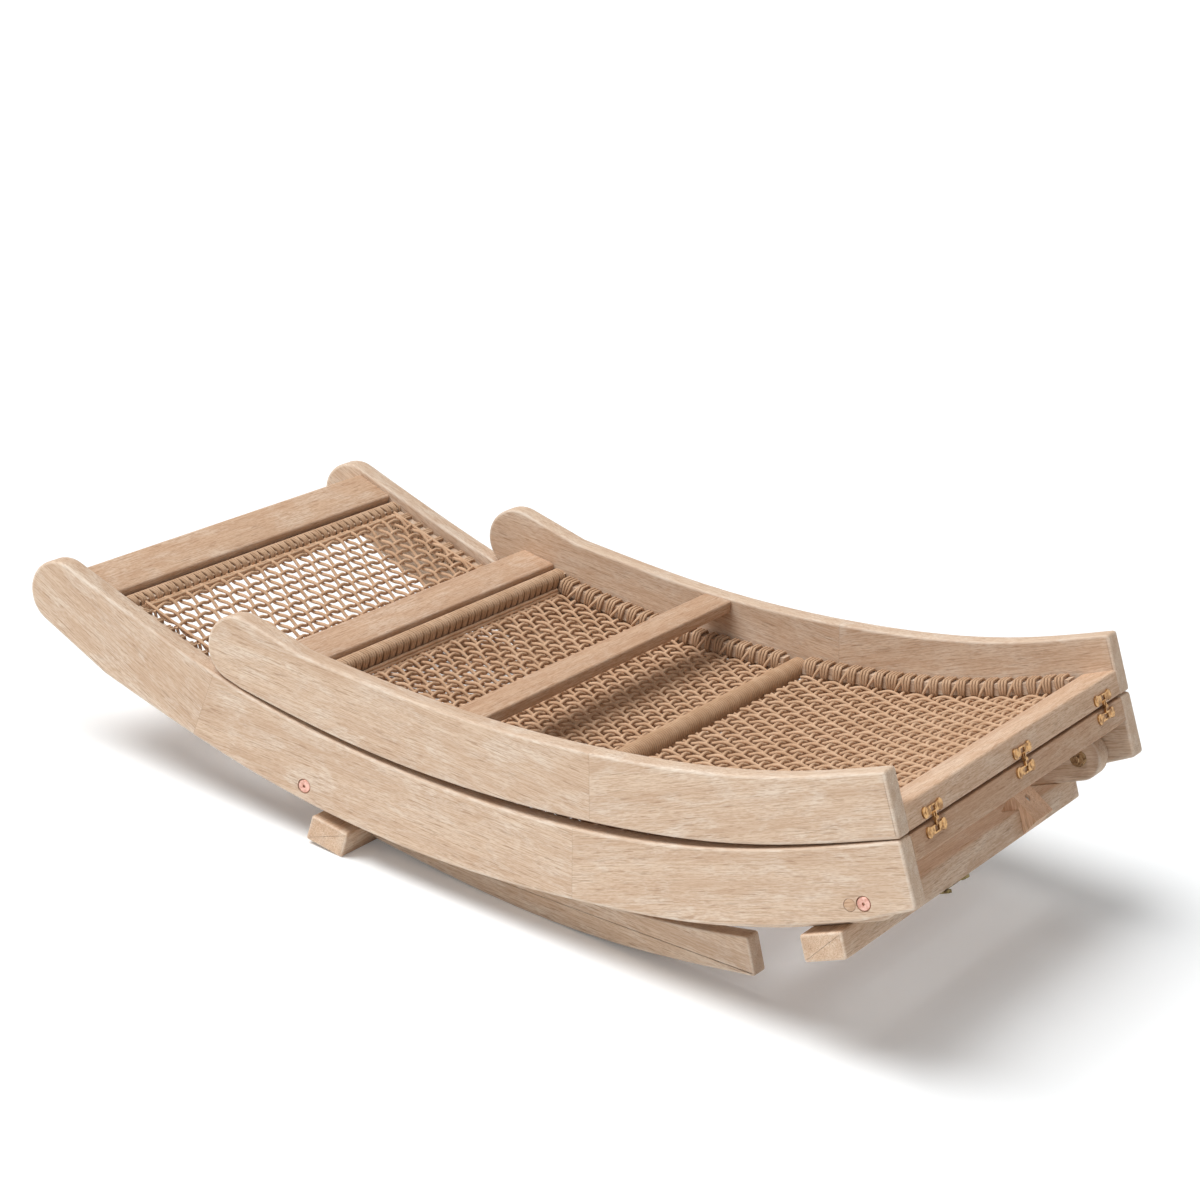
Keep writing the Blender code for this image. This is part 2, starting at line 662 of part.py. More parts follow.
def add_back_half(body, wood, rope, brass):
    outline = board_outline(BACK_SEAT, BACK_UNDER, HEAD_NOSE_CENTRE, HEAD_NOSE_RADIUS) + [
        np.array(BACK_END_CORNER)]
    boards = add_both(body, "back_side_board", outline, 0, BOARD_THICKNESS, wood, BOARD_EDGE)
    for board, far_side in zip(boards, (False, True)):
        for x, z in (REAR_PIVOT, FRONT_PIVOT):
            body.cut(board, stepped_hole(x, z, BOLT_RECESS_RADIUS, BOLT_RECESS_DEPTH,
                                         BOLT_RADIUS + BOLT_CLEARANCE, BOARD_THICKNESS + CUT_OVER, far_side))
        body.cut(board, turn(pin_profile(PLUG_RADIUS + FIT, -CUT_OVER, PLUG_LENGTH + FIT),
                             along_y(PLUG_CENTRE[0], PLUG_CENTRE[1], 0, far_side)))
    for side, far_side in (("near", False), ("far", True)):
        matrix = along_y(PLUG_CENTRE[0], PLUG_CENTRE[1], 0, far_side)
        plug = turn(pin_profile(PLUG_RADIUS, 0, PLUG_LENGTH), matrix)
        body.add(f"board_plug_{side}", plug, wood, smooth=True)
    rail_outline = end_rail_outline(BACK_CORNER, BACK_END_OUT, BACK_END_DOWN)
    rail = body.add("back_end_rail", prism(rail_outline, INNER_Y, WIDTH - INNER_Y), wood, BAR_EDGE)
    drill_for_screws(body, rail, BACK_CORNER, BACK_END_OUT, BACK_END_DOWN)
    add_brace(body, "back_brace", BACK_UNDER, BACK_BRACE_X, wood)
    rod_end = add_slat_and_rod(body, "back", "head_slat", BACK_SEAT, HEAD_SLAT_X, HEAD_SLAT_WIDTH, wood, rope)
    rail_start = rail_outline[0][0] - LEAN_ROOM
    add_side_bars(body, "back_side", BACK_SEAT, rod_end, rail_start, CURVE_STEPS, wood, rope)
    mesh = net(BACK_SEAT, rod_end, rail_start, BACK_NET_ROWS, NET_COLUMNS, NET_Y, WIDTH - NET_Y)
    body.add("back_net", mesh, rope)
    half = BACK_BARREL_WIDTH / 2
    add_hinge_leaves(body, "hinge_leaf_back", BACK_CORNER, BACK_END_OUT, BACK_END_DOWN, ((-half, half),),
                     half + FIT + FOOT_BARREL_WIDTH, brass)


def add_foot_half(body, wood, rope, brass):
    outline = board_outline(FOOT_UNDER, FOOT_SEAT, FOOT_NOSE_CENTRE, FOOT_NOSE_RADIUS)
    add_both(body, "foot_side_board", outline, 0, BOARD_THICKNESS, wood, BOARD_EDGE)
    rail_outline = end_rail_outline(FOOT_CORNER, FOOT_END_OUT, FOOT_END_UP)
    rail = body.add("foot_end_rail", prism(rail_outline, INNER_Y, WIDTH - INNER_Y), wood, BAR_EDGE)
    drill_for_screws(body, rail, FOOT_CORNER, FOOT_END_OUT, FOOT_END_UP)
    add_brace(body, "foot_brace", FOOT_UNDER, FOOT_BRACE_X, wood)
    rod_end = add_slat_and_rod(body, "foot", "foot_slat", FOOT_SEAT, FOOT_SLAT_X, FOOT_SLAT_WIDTH, wood, rope)
    rail_start = rail_outline[3][0] - LEAN_ROOM
    clear = ROUND_BAR_WOUND_RADIUS + FIT
    for part, rows, start, end in (("toe", FOOT_NET_TOE_ROWS, rod_end, ROUND_BAR_X - clear),
                                   ("knee", FOOT_NET_KNEE_ROWS, ROUND_BAR_X + clear, rail_start)):
        add_side_bars(body, f"foot_side_{part}", FOOT_SEAT, start, end, CURVE_STEPS // 2, wood, rope)
        mesh = net(FOOT_SEAT, start, end, rows, NET_COLUMNS, NET_Y, WIDTH - NET_Y)
        body.add(f"foot_net_{part}", mesh, rope)
    add_round_bar(body, wood, rope)
    inner = BACK_BARREL_WIDTH / 2 + FIT
    outer = inner + FOOT_BARREL_WIDTH
    add_hinge_leaves(body, "hinge_leaf_foot", FOOT_CORNER, FOOT_END_OUT, FOOT_END_UP,
                     ((-outer, -inner), (inner, outer)), 0, brass)


def add_round_bar(body, wood, rope):
    """The round cross bar and the rope wound round it, one unbroken tube."""
    centre = FOOT_SEAT.at(ROUND_BAR_X, ROUND_BAR_INSET)
    coil_radius = ROUND_BAR_WOUND_RADIUS - ROPE / 2
    bar_radius = coil_radius * math.cos(math.pi / WINDING_POINTS) - ROPE / 2 - FIT
    length = WIDTH - 2 * INNER_Y
    bar = turn(pin_profile(bar_radius, 0, length), along_y(centre[0], centre[1], INNER_Y))
    body.add("foot_round_bar", bar, wood, smooth=True)
    margin = ROPE / 2 + FIT
    count = WINDING_LOOPS * WINDING_POINTS + 1
    points = []
    for k in range(count):
        angle = 2 * math.pi * k / WINDING_POINTS
        y = INNER_Y + margin + (length - 2 * margin) * k / (count - 1)
        points.append((centre[0] + coil_radius * math.cos(angle), y,
                       centre[1] + coil_radius * math.sin(angle)))
    curve = bpy.data.curves.new("foot_round_bar_winding", "CURVE")
    curve.dimensions = "3D"
    curve.bevel_depth = ROPE / 2
    curve.bevel_resolution = 1
    curve.use_fill_caps = True
    spline = curve.splines.new("POLY")
    spline.points.add(count - 1)
    for point, place in zip(spline.points, points):
        point.co = (*(Vector(place) - body.place), 1.0)
    curve.materials.append(rope)
    item = bpy.data.objects.new("foot_round_bar_winding", curve)
    bpy.context.collection.objects.link(item)
    item.parent = body.empty
    data = np.array(points)
    gaps = [np.linalg.norm(data[k + WINDING_POINTS // 2:] - data[k], axis=1).min()
            for k in range(count - WINDING_POINTS // 2)]
    print("foot_round_bar_winding least gap to itself, mm:", round((min(gaps) - ROPE) * 1000, 2))


def rear_stop_outline(grow=0.0):
    """The rear stop bar: corners head end top, hinge end top, hinge end bottom, head end bottom."""
    along = unit(REAR_STOP_SLOPE)
    down = np.array((along[1], -along[0]))
    corner = np.array(REAR_STOP_CORNER)
    outline = [corner, corner + STOP_BAR_WIDTH * along,
               corner + STOP_BAR_WIDTH * along + STOP_BAR_HEIGHT * down, corner + STOP_BAR_HEIGHT * down]
    return grown(outline, grow) if grow else outline


def rear_leg_outline():
    """The rear leg board, from its foot along the lower edge to the stop bar's notch and round its head."""
    pivot = np.array(REAR_PIVOT)
    notch = rear_stop_outline(FIT)
    down = toward(notch[1], notch[2])
    notch_mouth = notch[1] + REAR_NOTCH_DEPTH * down
    under = Edge(REAR_UNDER_LINE + (tuple(notch_mouth),), 1)
    lower = under.span(under.x[-1], under.x[0])
    heel = tangent_angle(pivot, REAR_HEAD_RADIUS, notch[0], -1)
    brow = math.pi / 2 - REAR_HEAD_TURN
    head = circle_arc(pivot, REAR_HEAD_RADIUS, heel, brow - 2 * math.pi, HEAD_ARC_STEPS)
    upper = arc_between(head[-1], np.array(REAR_FOOT_TOP), REAR_TOP_RADIUS, CURVE_STEPS)
    return lower + [notch[1], notch[0]] + head + upper[1:]


def arc_between(start, end, radius, steps):
    """A sagging arc of the given radius from start to end, both ends included."""
    chord = end - start
    length = np.linalg.norm(chord)
    across = np.array((-chord[1], chord[0])) / length
    centre = (start + end) / 2 + across * math.sqrt(radius ** 2 - (length / 2) ** 2)
    first = math.atan2(*(start - centre)[::-1])
    last = math.atan2(*(end - centre)[::-1])
    return circle_arc(centre, radius, first, last, steps)


def ground_when_open():
    """A point and the direction of the floor under the open lounger, seen from the back half."""
    pivot = np.array(REAR_PIVOT)
    toe, heel = (pivot + turned(np.array(p) - pivot, -REAR_OPEN) for p in (REAR_UNDER_LINE[0], REAR_FOOT_TOP))
    return toe, toward(toe, heel)


def front_leg_frame():
    """The leg's direction from the pivot toward its foot, and the direction down out of its lower edge."""
    return -unit(FRONT_SLOPE), np.array((math.sin(FRONT_SLOPE), -math.cos(FRONT_SLOPE)))


def front_leg_outline():
    """The front leg board; its foot is cut so that it stands flat when both pairs of legs are open."""
    pivot = np.array(FRONT_PIVOT)
    along, down = front_leg_frame()
    floor_point, floor_line = ground_when_open()
    cut_point = pivot + turned(floor_point - pivot, -FRONT_OPEN)
    cut_line = turned(floor_line, -FRONT_OPEN)
    cut_normal = np.array((-cut_line[1], cut_line[0]))
    reach = abs(np.dot(cut_point - pivot, cut_normal))
    cut_normal = cut_normal * np.sign(np.dot(cut_point - pivot, cut_normal))
    straight_end = pivot + FRONT_HEAD_RADIUS * down + (FRONT_STOP_START + STOP_BAR_WIDTH) * along
    centre = straight_end - FRONT_UNDER_RADIUS * down
    start = math.atan2(down[1], down[0])

    def cut_angle(radius):
        """Turn along the arc until it reaches the foot's cut."""
        low, high = 0.0, math.radians(40)
        for _ in range(40):
            middle = (low + high) / 2
            place = centre + radius * unit(start - middle)
            if np.dot(place - pivot, cut_normal) < reach:
                low = middle
            else:
                high = middle
        return start - low

    lower = circle_arc(centre, FRONT_UNDER_RADIUS, start, cut_angle(FRONT_UNDER_RADIUS), 10)
    upper_radius = FRONT_UNDER_RADIUS - FRONT_LEG_DEPTH
    upper = circle_arc(centre, upper_radius, cut_angle(upper_radius), start, 10)
    brow = tangent_angle(pivot, FRONT_HEAD_RADIUS, upper[-1], -1) % (2 * math.pi)
    head = circle_arc(pivot, FRONT_HEAD_RADIUS, brow, start, HEAD_ARC_STEPS)
    return lower + upper + head


def front_stop_outline():
    """The front stop bar under the leg boards: head end top, hinge end top, then the two bottom corners."""
    along, down = front_leg_frame()
    top = np.array(FRONT_PIVOT) + (FRONT_HEAD_RADIUS + FIT) * down
    first, second = (top + reach * along for reach in (FRONT_STOP_START + STOP_BAR_WIDTH, FRONT_STOP_START))
    return [first, second, second + STOP_BAR_HEIGHT * down, first + STOP_BAR_HEIGHT * down]


def bolt_hole(x, z, leg_y, far_side):
    """A cutter for the pivot hole through a leg board."""
    profile = pin_profile(BOLT_RADIUS + BOLT_CLEARANCE, leg_y - CUT_OVER, leg_y + LEG_THICKNESS + CUT_OVER)
    return turn(profile, along_y(x, z, 0, far_side))


def add_leg_boards(body, name, outline, pivot, leg_y, wood):
    boards = add_both(body, name, outline, leg_y, leg_y + LEG_THICKNESS, wood, LEG_EDGE)
    for board, far_side in zip(boards, (False, True)):
        body.cut(board, bolt_hole(pivot[0], pivot[1], leg_y, far_side))
    return boards


def add_rear_legs(body, wood):
    boards = add_leg_boards(body, "rear_leg", rear_leg_outline(), REAR_PIVOT, REAR_LEG_Y, wood)
    bar = body.add("rear_stop_bar", prism(rear_stop_outline(), 0, WIDTH), wood, STOP_BAR_EDGE)
    inner = REAR_LEG_Y + LEG_THICKNESS + FIT
    stretcher = section(Edge(REAR_UNDER_LINE, 1), REAR_STRETCHER_X, REAR_STRETCHER_INSET, STRETCHER_WIDTH,
                        STRETCHER_THICKNESS)
    body.add("rear_leg_stretcher", prism(stretcher, inner, WIDTH - inner), wood, BAR_EDGE)
    return boards + [bar]


def add_front_legs(body, wood, brass, steel):
    add_leg_boards(body, "front_leg", front_leg_outline(), FRONT_PIVOT, FRONT_LEG_Y, wood)
    outline = front_stop_outline()
    bar = body.add("front_stop_bar", prism(outline, 0, WIDTH), wood, STOP_BAR_EDGE)
    along, down = front_leg_frame()
    middle = np.array(FRONT_PIVOT) + FRONT_STRETCHER_REACH * along + FRONT_STRETCHER_DROP * down
    half_wide, half_thick = STRETCHER_WIDTH / 2 * along, STRETCHER_THICKNESS / 2 * down
    stretcher = [middle + half_wide - half_thick, middle - half_wide - half_thick,
                 middle - half_wide + half_thick, middle + half_wide + half_thick]
    inner = FRONT_LEG_Y + LEG_THICKNESS + FIT
    body.add("front_leg_stretcher", prism(stretcher, inner, WIDTH - inner), wood, BAR_EDGE)
    add_stop_block(body, bar, outline, along, down, wood, steel)
    add_hook(body, bar, outline, along, down, brass)


def add_stop_block(body, bar, bar_outline, along, down, wood, steel):
    """A slanted block over the stop bar's upper hinge-side edge, held by a screw in an angled pocket."""
    corner = bar_outline[1] + FIT * (-along - down)
    lip = corner + BLOCK_OVERLAP * along
    tail = corner + BLOCK_DROP * down
    face_top = corner + BLOCK_FACE_TOP[0] * -along + BLOCK_FACE_TOP[1] * -down
    face_bottom = corner + BLOCK_FACE_BOTTOM[0] * -along + BLOCK_FACE_BOTTOM[1] * -down
    outline = [lip, face_top, face_bottom, tail, corner]
    block = body.add("stop_block", prism(outline, BLOCK_NEAR_Y, BLOCK_NEAR_Y + BLOCK_WIDTH), wood)
    mouth = face_top + BLOCK_SCREW_PLACE * (face_bottom - face_top)
    out = -turned(along, BLOCK_SCREW_TURN)
    matrix = plane_matrix(mouth, out, BLOCK_NEAR_Y + BLOCK_WIDTH / 2)
    head_seat = -BLOCK_POCKET_DEPTH
    tip = head_seat - BLOCK_SCREW_LENGTH
    pocket = [(0, tip - FIT), (BLOCK_SCREW_RADIUS + FIT, tip - FIT),
              (BLOCK_SCREW_RADIUS + FIT, head_seat - FIT), (BLOCK_POCKET_RADIUS, head_seat - FIT),
              (BLOCK_POCKET_RADIUS, BLOCK_WIDTH / 2), (0, BLOCK_WIDTH / 2)]
    body.cut(block, turn(pocket, matrix, SCREW_SIDES))
    hole = pin_profile(BLOCK_SCREW_RADIUS + FIT, tip - FIT, head_seat - CUT_OVER)
    body.cut(bar, turn(hole, matrix, SCREW_SIDES))
    screw = [(0, tip), (BLOCK_SCREW_RADIUS, tip), (BLOCK_SCREW_RADIUS, head_seat),
             (BLOCK_SCREW_HEAD, head_seat), (BLOCK_SCREW_HEAD, head_seat + SCREW_HEAD_RIM),
             (0, head_seat + 2 * SCREW_HEAD_RIM)]
    body.add("stop_block_screw", turn(screw, matrix, SCREW_SIDES), steel, smooth=True)


def hook_matrix(bar_outline, along, down):
    """Local z points out of the stop bar's underside, local x along +y, zero on the hook screw's axis."""
    place = bar_outline[2] + HOOK_FROM_EDGE * along
    return plane_matrix(place, down, HOOK_Y)


def add_hook(body, bar, bar_outline, along, down, brass):
    """The screw that holds the hook; the hook itself turns on it and is its own body."""
    matrix = hook_matrix(bar_outline, along, down)
    head = 2 * FIT + HOOK_THICKNESS
    hole = pin_profile(HOOK_SCREW_RADIUS + FIT, -HOOK_SCREW_DEPTH - FIT, CUT_OVER)
    body.cut(bar, turn(hole, matrix, SCREW_SIDES))
    profile = [(0, -HOOK_SCREW_DEPTH), (HOOK_SCREW_RADIUS, -HOOK_SCREW_DEPTH), (HOOK_SCREW_RADIUS, head),
               (HOOK_SCREW_HEAD, head), (HOOK_SCREW_HEAD, head + SCREW_HEAD_RIM),
               (0, head + 2 * SCREW_HEAD_RIM)]
    body.add("hook_screw", turn(profile, matrix, SCREW_SIDES), brass, smooth=True)


def add_hook_arm(body, brass):
    """A flat hook with a round eye; its arm lies along the stop bar and its tip bends back."""
    along, down = front_leg_frame()
    matrix = hook_matrix(front_stop_outline(), along, down)
    half = HOOK_WIDTH / 2
    meet = math.asin(half / HOOK_EYE_RADIUS)
    eye = [HOOK_EYE_RADIUS * Vector(unit(a)) for a in np.linspace(math.pi + meet, 3 * math.pi - meet, 15)]
    tip = -HOOK_LENGTH
    outline = eye + [Vector((tip + HOOK_WIDTH, half)), Vector((tip + HOOK_WIDTH, HOOK_TIP)),
                     Vector((tip + half, HOOK_TIP + half)), Vector((tip, HOOK_TIP)),
                     Vector((tip, 0)), Vector((tip + half, -half))]
    arm = body.add("hook", plate(outline, FIT, FIT + HOOK_THICKNESS, matrix), brass)
    hole = pin_profile(HOOK_SCREW_RADIUS + FIT, -CUT_OVER, HOOK_THICKNESS + CUT_OVER)
    body.cut(arm, turn(hole, matrix, SCREW_SIDES))


def add_pivot_hardware(body, name, pivot, leg_y, copper, steel, has_spacer):
    """A bolt with its nut on both sides of one pair of legs, and spacers where the legs run further in."""
    x, z = pivot
    nut_start = leg_y + LEG_THICKNESS + FIT
    end = nut_start + NUT_THICKNESS + BOLT_TIP
    seat = BOLT_RECESS_DEPTH - FIT
    bolt = [(0, seat - BOLT_HEAD_HEIGHT), (BOLT_HEAD_RADIUS, seat - BOLT_HEAD_HEIGHT),
            (BOLT_HEAD_RADIUS, seat), (BOLT_RADIUS, seat), (BOLT_RADIUS, end), (0, end)]
    hole = BOLT_RADIUS + BOLT_CLEARANCE
    start, stop = BOARD_THICKNESS + FIT, leg_y - FIT
    spacer = [(hole, start), (SPACER_RADIUS, start), (SPACER_RADIUS, stop), (hole, stop)]
    for side, far_side in (("near", False), ("far", True)):
        matrix = along_y(x, z, 0, far_side)
        item = body.add(f"{name}_bolt_{side}", turn(bolt, matrix), copper)
        nut = turn(pin_profile(NUT_RADIUS, nut_start, nut_start + NUT_THICKNESS), matrix, NUT_SIDES)
        body.cut(item, nut, "UNION")
        if has_spacer:
            body.add(f"{name}_spacer_{side}", turn(spacer, matrix, ring=True), steel, smooth=True)


def seen_points(items, graph):
    """The finished corners of some objects, in the world, as rows of x, y, z."""
    rows = []
    for item in items:
        shape = item.evaluated_get(graph)
        mesh = shape.to_mesh()
        rows += [tuple(item.matrix_world @ vertex.co) for vertex in mesh.vertices]
        shape.to_mesh_clear()
    return np.array(rows)


def stand_up(root, rear_feet, stop_bar, everything):
    """Turn and lift the lounger until its stop bar and rear feet both touch z = 0, centred on x = y = 0."""
    bpy.context.view_layer.update()
    graph = bpy.context.evaluated_depsgraph_get()
    feet, bar = seen_points(rear_feet, graph), seen_points([stop_bar], graph)

    def lowest(points, angle):
        return (points[:, 2] * math.cos(angle) - points[:, 0] * math.sin(angle)).min()

    low, high = -0.5, 0.5
    for _ in range(50):
        angle = (low + high) / 2
        if lowest(feet, angle) > lowest(bar, angle):
            low = angle
        else:
            high = angle
    points = seen_points(everything, graph)
    x = points[:, 0] * math.cos(angle) + points[:, 2] * math.sin(angle)
    z = points[:, 2] * math.cos(angle) - points[:, 0] * math.sin(angle)
    root.rotation_euler = (0, angle, 0)
    root.location = (-(x.min() + x.max()) / 2, -WIDTH / 2, -z.min())
    bpy.context.view_layer.update()


def main():
    clear_scene()
    wood = make_material("wood", (0.56, 0.40, 0.28), 0.62)
    rope = make_material("rope", (0.50, 0.37, 0.25), 0.85)
    brass = make_material("brass", (0.55, 0.38, 0.16), 0.35, 0.9)
    copper = make_material("copper", (0.72, 0.38, 0.30), 0.35, 0.9)
    steel = make_material("steel", (0.55, 0.53, 0.50), 0.4, 0.9)

    back = Body("back_half", (0, 0, 0))
    foot = Body("foot_half_axis", (HINGE_AXIS[0], 0, HINGE_AXIS[1]), back)
    rear = Body("rear_legs_axis", (REAR_PIVOT[0], 0, REAR_PIVOT[1]), back)
    front = Body("front_legs_axis", (FRONT_PIVOT[0], 0, FRONT_PIVOT[1]), back)
    hook_place = hook_matrix(front_stop_outline(), *front_leg_frame()).translation
    hook = Body("hook_axis", hook_place, front)

    add_back_half(back, wood, rope, brass)
    add_foot_half(foot, wood, rope, brass)
    rear_parts = add_rear_legs(rear, wood)
    add_front_legs(front, wood, brass, steel)
    add_hook_arm(hook, brass)
    add_pivot_hardware(back, "rear_pivot", REAR_PIVOT, REAR_LEG_Y, copper, steel, True)
    add_pivot_hardware(back, "front_pivot", FRONT_PIVOT, FRONT_LEG_Y, copper, steel, False)

    everything = [item for item in bpy.data.objects if item.type != "EMPTY" and not item.hide_render]
    stand_up(back.empty, rear_parts[:2], rear_parts[2], everything)


main()
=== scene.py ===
import json
import math
import bpy
import numpy as np
from mathutils import Matrix


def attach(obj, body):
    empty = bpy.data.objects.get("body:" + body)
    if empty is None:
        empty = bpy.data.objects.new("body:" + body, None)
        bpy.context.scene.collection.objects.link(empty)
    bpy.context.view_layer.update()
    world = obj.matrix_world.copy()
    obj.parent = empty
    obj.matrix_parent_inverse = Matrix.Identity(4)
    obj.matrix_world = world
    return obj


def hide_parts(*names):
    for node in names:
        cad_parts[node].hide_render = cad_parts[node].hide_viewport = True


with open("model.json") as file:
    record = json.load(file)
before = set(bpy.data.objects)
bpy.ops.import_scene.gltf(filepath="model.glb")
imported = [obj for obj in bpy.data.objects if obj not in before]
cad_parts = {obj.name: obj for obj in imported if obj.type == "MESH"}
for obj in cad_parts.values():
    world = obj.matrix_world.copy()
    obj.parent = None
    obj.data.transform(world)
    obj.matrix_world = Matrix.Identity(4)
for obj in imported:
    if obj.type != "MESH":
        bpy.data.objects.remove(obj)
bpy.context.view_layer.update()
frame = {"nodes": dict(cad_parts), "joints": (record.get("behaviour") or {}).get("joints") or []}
nodes = frame["nodes"]
print("frame loaded:", len(nodes), "nodes")

# Drawing frame: x runs along the boards to the hinge, y from the near board's face, z up.
# The two leg pivots, drawn and packed, say how the lounger leans and where it stands.
drawing = {
    "width": 0.620,
    "rearPivot": (-0.726, -0.061),
    "frontPivot": (-0.039, -0.075),
    "fit": 0.0003,
    "slopeStep": 0.0005,  # half the distance over which a curve's slope is taken
    "insetStep": 0.001,
    "smoothAngle": 40.0,  # degrees; sharper edges stay sharp
}


def findStand():
    # lean = packed direction between the pivots minus the drawn one;
    # the shift takes the turned front pivot to its packed place
    packed = {joint["name"]: np.array(joint["pos_m"])[[0, 2]]
              for joint in frame["joints"] if "pos_m" in joint}
    drawn = np.array(drawing["frontPivot"]) - np.array(drawing["rearPivot"])
    real = packed["front_leg_pivot"] - packed["rear_leg_pivot"]
    lean = math.atan2(real[1], real[0]) - math.atan2(drawn[1], drawn[0])
    turn = np.array([[math.cos(lean), -math.sin(lean)], [math.sin(lean), math.cos(lean)]])
    return turn, packed["front_leg_pivot"] - turn @ np.array(drawing["frontPivot"])


leanTurn, standShift = findStand()


def toRow(points):
    # turns drawing points (..., x y z) by the lean in the x z plane, then moves them to the row frame
    points = np.asarray(points, float)
    flat = points[..., [0, 2]] @ leanTurn.T + standShift
    return np.stack([flat[..., 0], points[..., 1] - drawing["width"] / 2, flat[..., 1]], -1)


def unit(vectors):
    # each vector divided by its own length, which is never taken as less than a speck
    speck = 1e-9
    return vectors / np.maximum(np.linalg.norm(vectors, axis=-1, keepdims=True), speck)


def edgeCurve(points, inward):
    # natural cubic through (x, z) points: second slopes solve the usual three-term system; the returned
    # function gives the point at x, moved inward along the normal
    data = np.array(sorted(points))
    x, z = data[:, 0], data[:, 1]
    step = np.diff(x)
    system = np.eye(len(x))
    right = np.zeros(len(x))
    rows = np.arange(1, len(x) - 1)
    system[rows, rows - 1], system[rows, rows + 1] = step[:-1], step[1:]
    system[rows, rows] = 2 * (step[:-1] + step[1:])
    right[rows] = 6 * (np.diff(z)[1:] / step[1:] - np.diff(z)[:-1] / step[:-1])
    bend = np.linalg.solve(system, right)

    def height(at):
        # (bend0 a^3 + bend1 b^3) / 6h + (z0 / h - bend0 h / 6) a + (z1 / h - bend1 h / 6) b,
        # where a and b are the distances to the next point and from the last one
        i = np.clip(np.searchsorted(x, at) - 1, 0, len(x) - 2)
        a, b, h = x[i + 1] - at, at - x[i], step[i]
        cubic = (bend[i] * a ** 3 + bend[i + 1] * b ** 3) / (6 * h)
        return cubic + (z[i] / h - bend[i] * h / 6) * a + (z[i + 1] / h - bend[i + 1] * h / 6) * b

    def place(at, inset=0.0):
        # (x, height) plus inset times the normal (-rise, 1) / sqrt(1 + rise^2), turned inward
        at = np.asarray(at, float)
        near = drawing["slopeStep"]
        rise = (height(at + near) - height(at - near)) / (2 * near)
        length = np.sqrt(1 + rise ** 2)
        return np.stack([at - inset * inward * rise / length, height(at) + inset * inward / length], -1)

    return place


# Side boards, as the CAD draws them
boards = {
    "backSeat": ((0.000, -0.0006), (-0.180, -0.0405), (-0.371, -0.0516),
                 (-0.598, -0.0229), (-0.810, 0.0375), (-1.002, 0.1265)),
    "backUnder": ((-0.042, -0.0945), (-0.179, -0.1255), (-0.347, -0.1335),
                  (-0.574, -0.1140), (-0.820, -0.0470), (-1.000, 0.0300)),
    "footSeat": ((0.000, 0.0006), (-0.180, -0.0355), (-0.322, -0.0425),
                 (-0.521, -0.0285), (-0.676, 0.0005), (-0.810, 0.0395)),
    "footUnder": ((-0.019, 0.0693), (-0.135, 0.0450), (-0.325, 0.0342),
                  (-0.545, 0.0530), (-0.727, 0.0900)),
    "backEndCorner": (0.020, -0.0715),
    "headNose": ((-1.064, 0.1155), 0.038),
    "footNose": ((-0.8145, 0.0835), 0.0385),
    "thickness": 0.0255,
    "easedEdge": 0.0030,
    "backCorner": 0.0050,
    "footCorner": 0.0040,
    "curvePoints": 60,
    "nosePoints": 24,
}
backSeat, backUnder = edgeCurve(boards["backSeat"], -1), edgeCurve(boards["backUnder"], 1)
footSeat, footUnder = edgeCurve(boards["footSeat"], 1), edgeCurve(boards["footUnder"], -1)


# Meshes

def linkMesh(name, points, faces, marks, material, body, slot, sharp=drawing["smoothAngle"], replaced=()):
    # marks, one number a point: how pale an edge of wood turns,
    # or how much painted shade a point of cord takes between two turns
    mesh = bpy.data.meshes.new(name)
    mesh.from_pydata(toRow(points).tolist(), [], faces)
    mesh.attributes.new("mark", "FLOAT", "POINT").data.foreach_set("value", np.asarray(marks, np.float32))
    mesh.shade_smooth()
    mesh.set_sharp_from_angle(angle=math.radians(sharp))
    piece = bpy.data.objects.new(name, mesh)
    bpy.context.scene.collection.objects.link(piece)
    mesh.materials.append(material)
    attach(piece, body)
    if replaced:
        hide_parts(*replaced)
    return piece


def dress(name, material):
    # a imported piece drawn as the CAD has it, in a material of its own
    nodes[name].data.materials.clear()
    nodes[name].data.materials.append(material)


easing = {
    "sharpCorner": 25.0,  # degrees
    "cornerShare": 0.45,  # most of an edge that a corner's curve may take
    "cornerSteps": 4,
    "edgeSteps": 4,
    "capMargin": 0.0008,
    "bodyMargin": 1.4,
    "leastMitre": 0.4,
    "edgePaling": (0, 0.8, 1.0, 0.5, 0.15, 0),  # from the flat end over the rounding to the bar's body
}


def softCorners(outline, radius):
    # each corner that turns more than the sharp angle becomes a short curve:
    # p(t) = (1 - t)^2 start + 2 t (1 - t) corner + t^2 end
    steps = easing["cornerSteps"]
    outline = np.asarray(outline, float)
    before, after = np.roll(outline, 1, 0) - outline, np.roll(outline, -1, 0) - outline
    room = np.minimum(np.linalg.norm(before, axis=1), np.linalg.norm(after, axis=1)) * easing["cornerShare"]
    turning = np.degrees(np.arccos(np.clip(-(unit(before) * unit(after)).sum(1), -1, 1)))
    reach = np.where(turning > easing["sharpCorner"], np.minimum(radius, room), 0.0)[:, None, None]
    t = np.linspace(0, 1, steps)[None, :, None]
    start = outline[:, None] + reach * unit(before)[:, None]
    end = outline[:, None] + reach * unit(after)[:, None]
    curve = (1 - t) ** 2 * start + 2 * t * (1 - t) * outline[:, None] + t ** 2 * end
    keep = (reach[:, :, 0] > 0) | (np.arange(steps)[None] == 0)
    return curve[keep]


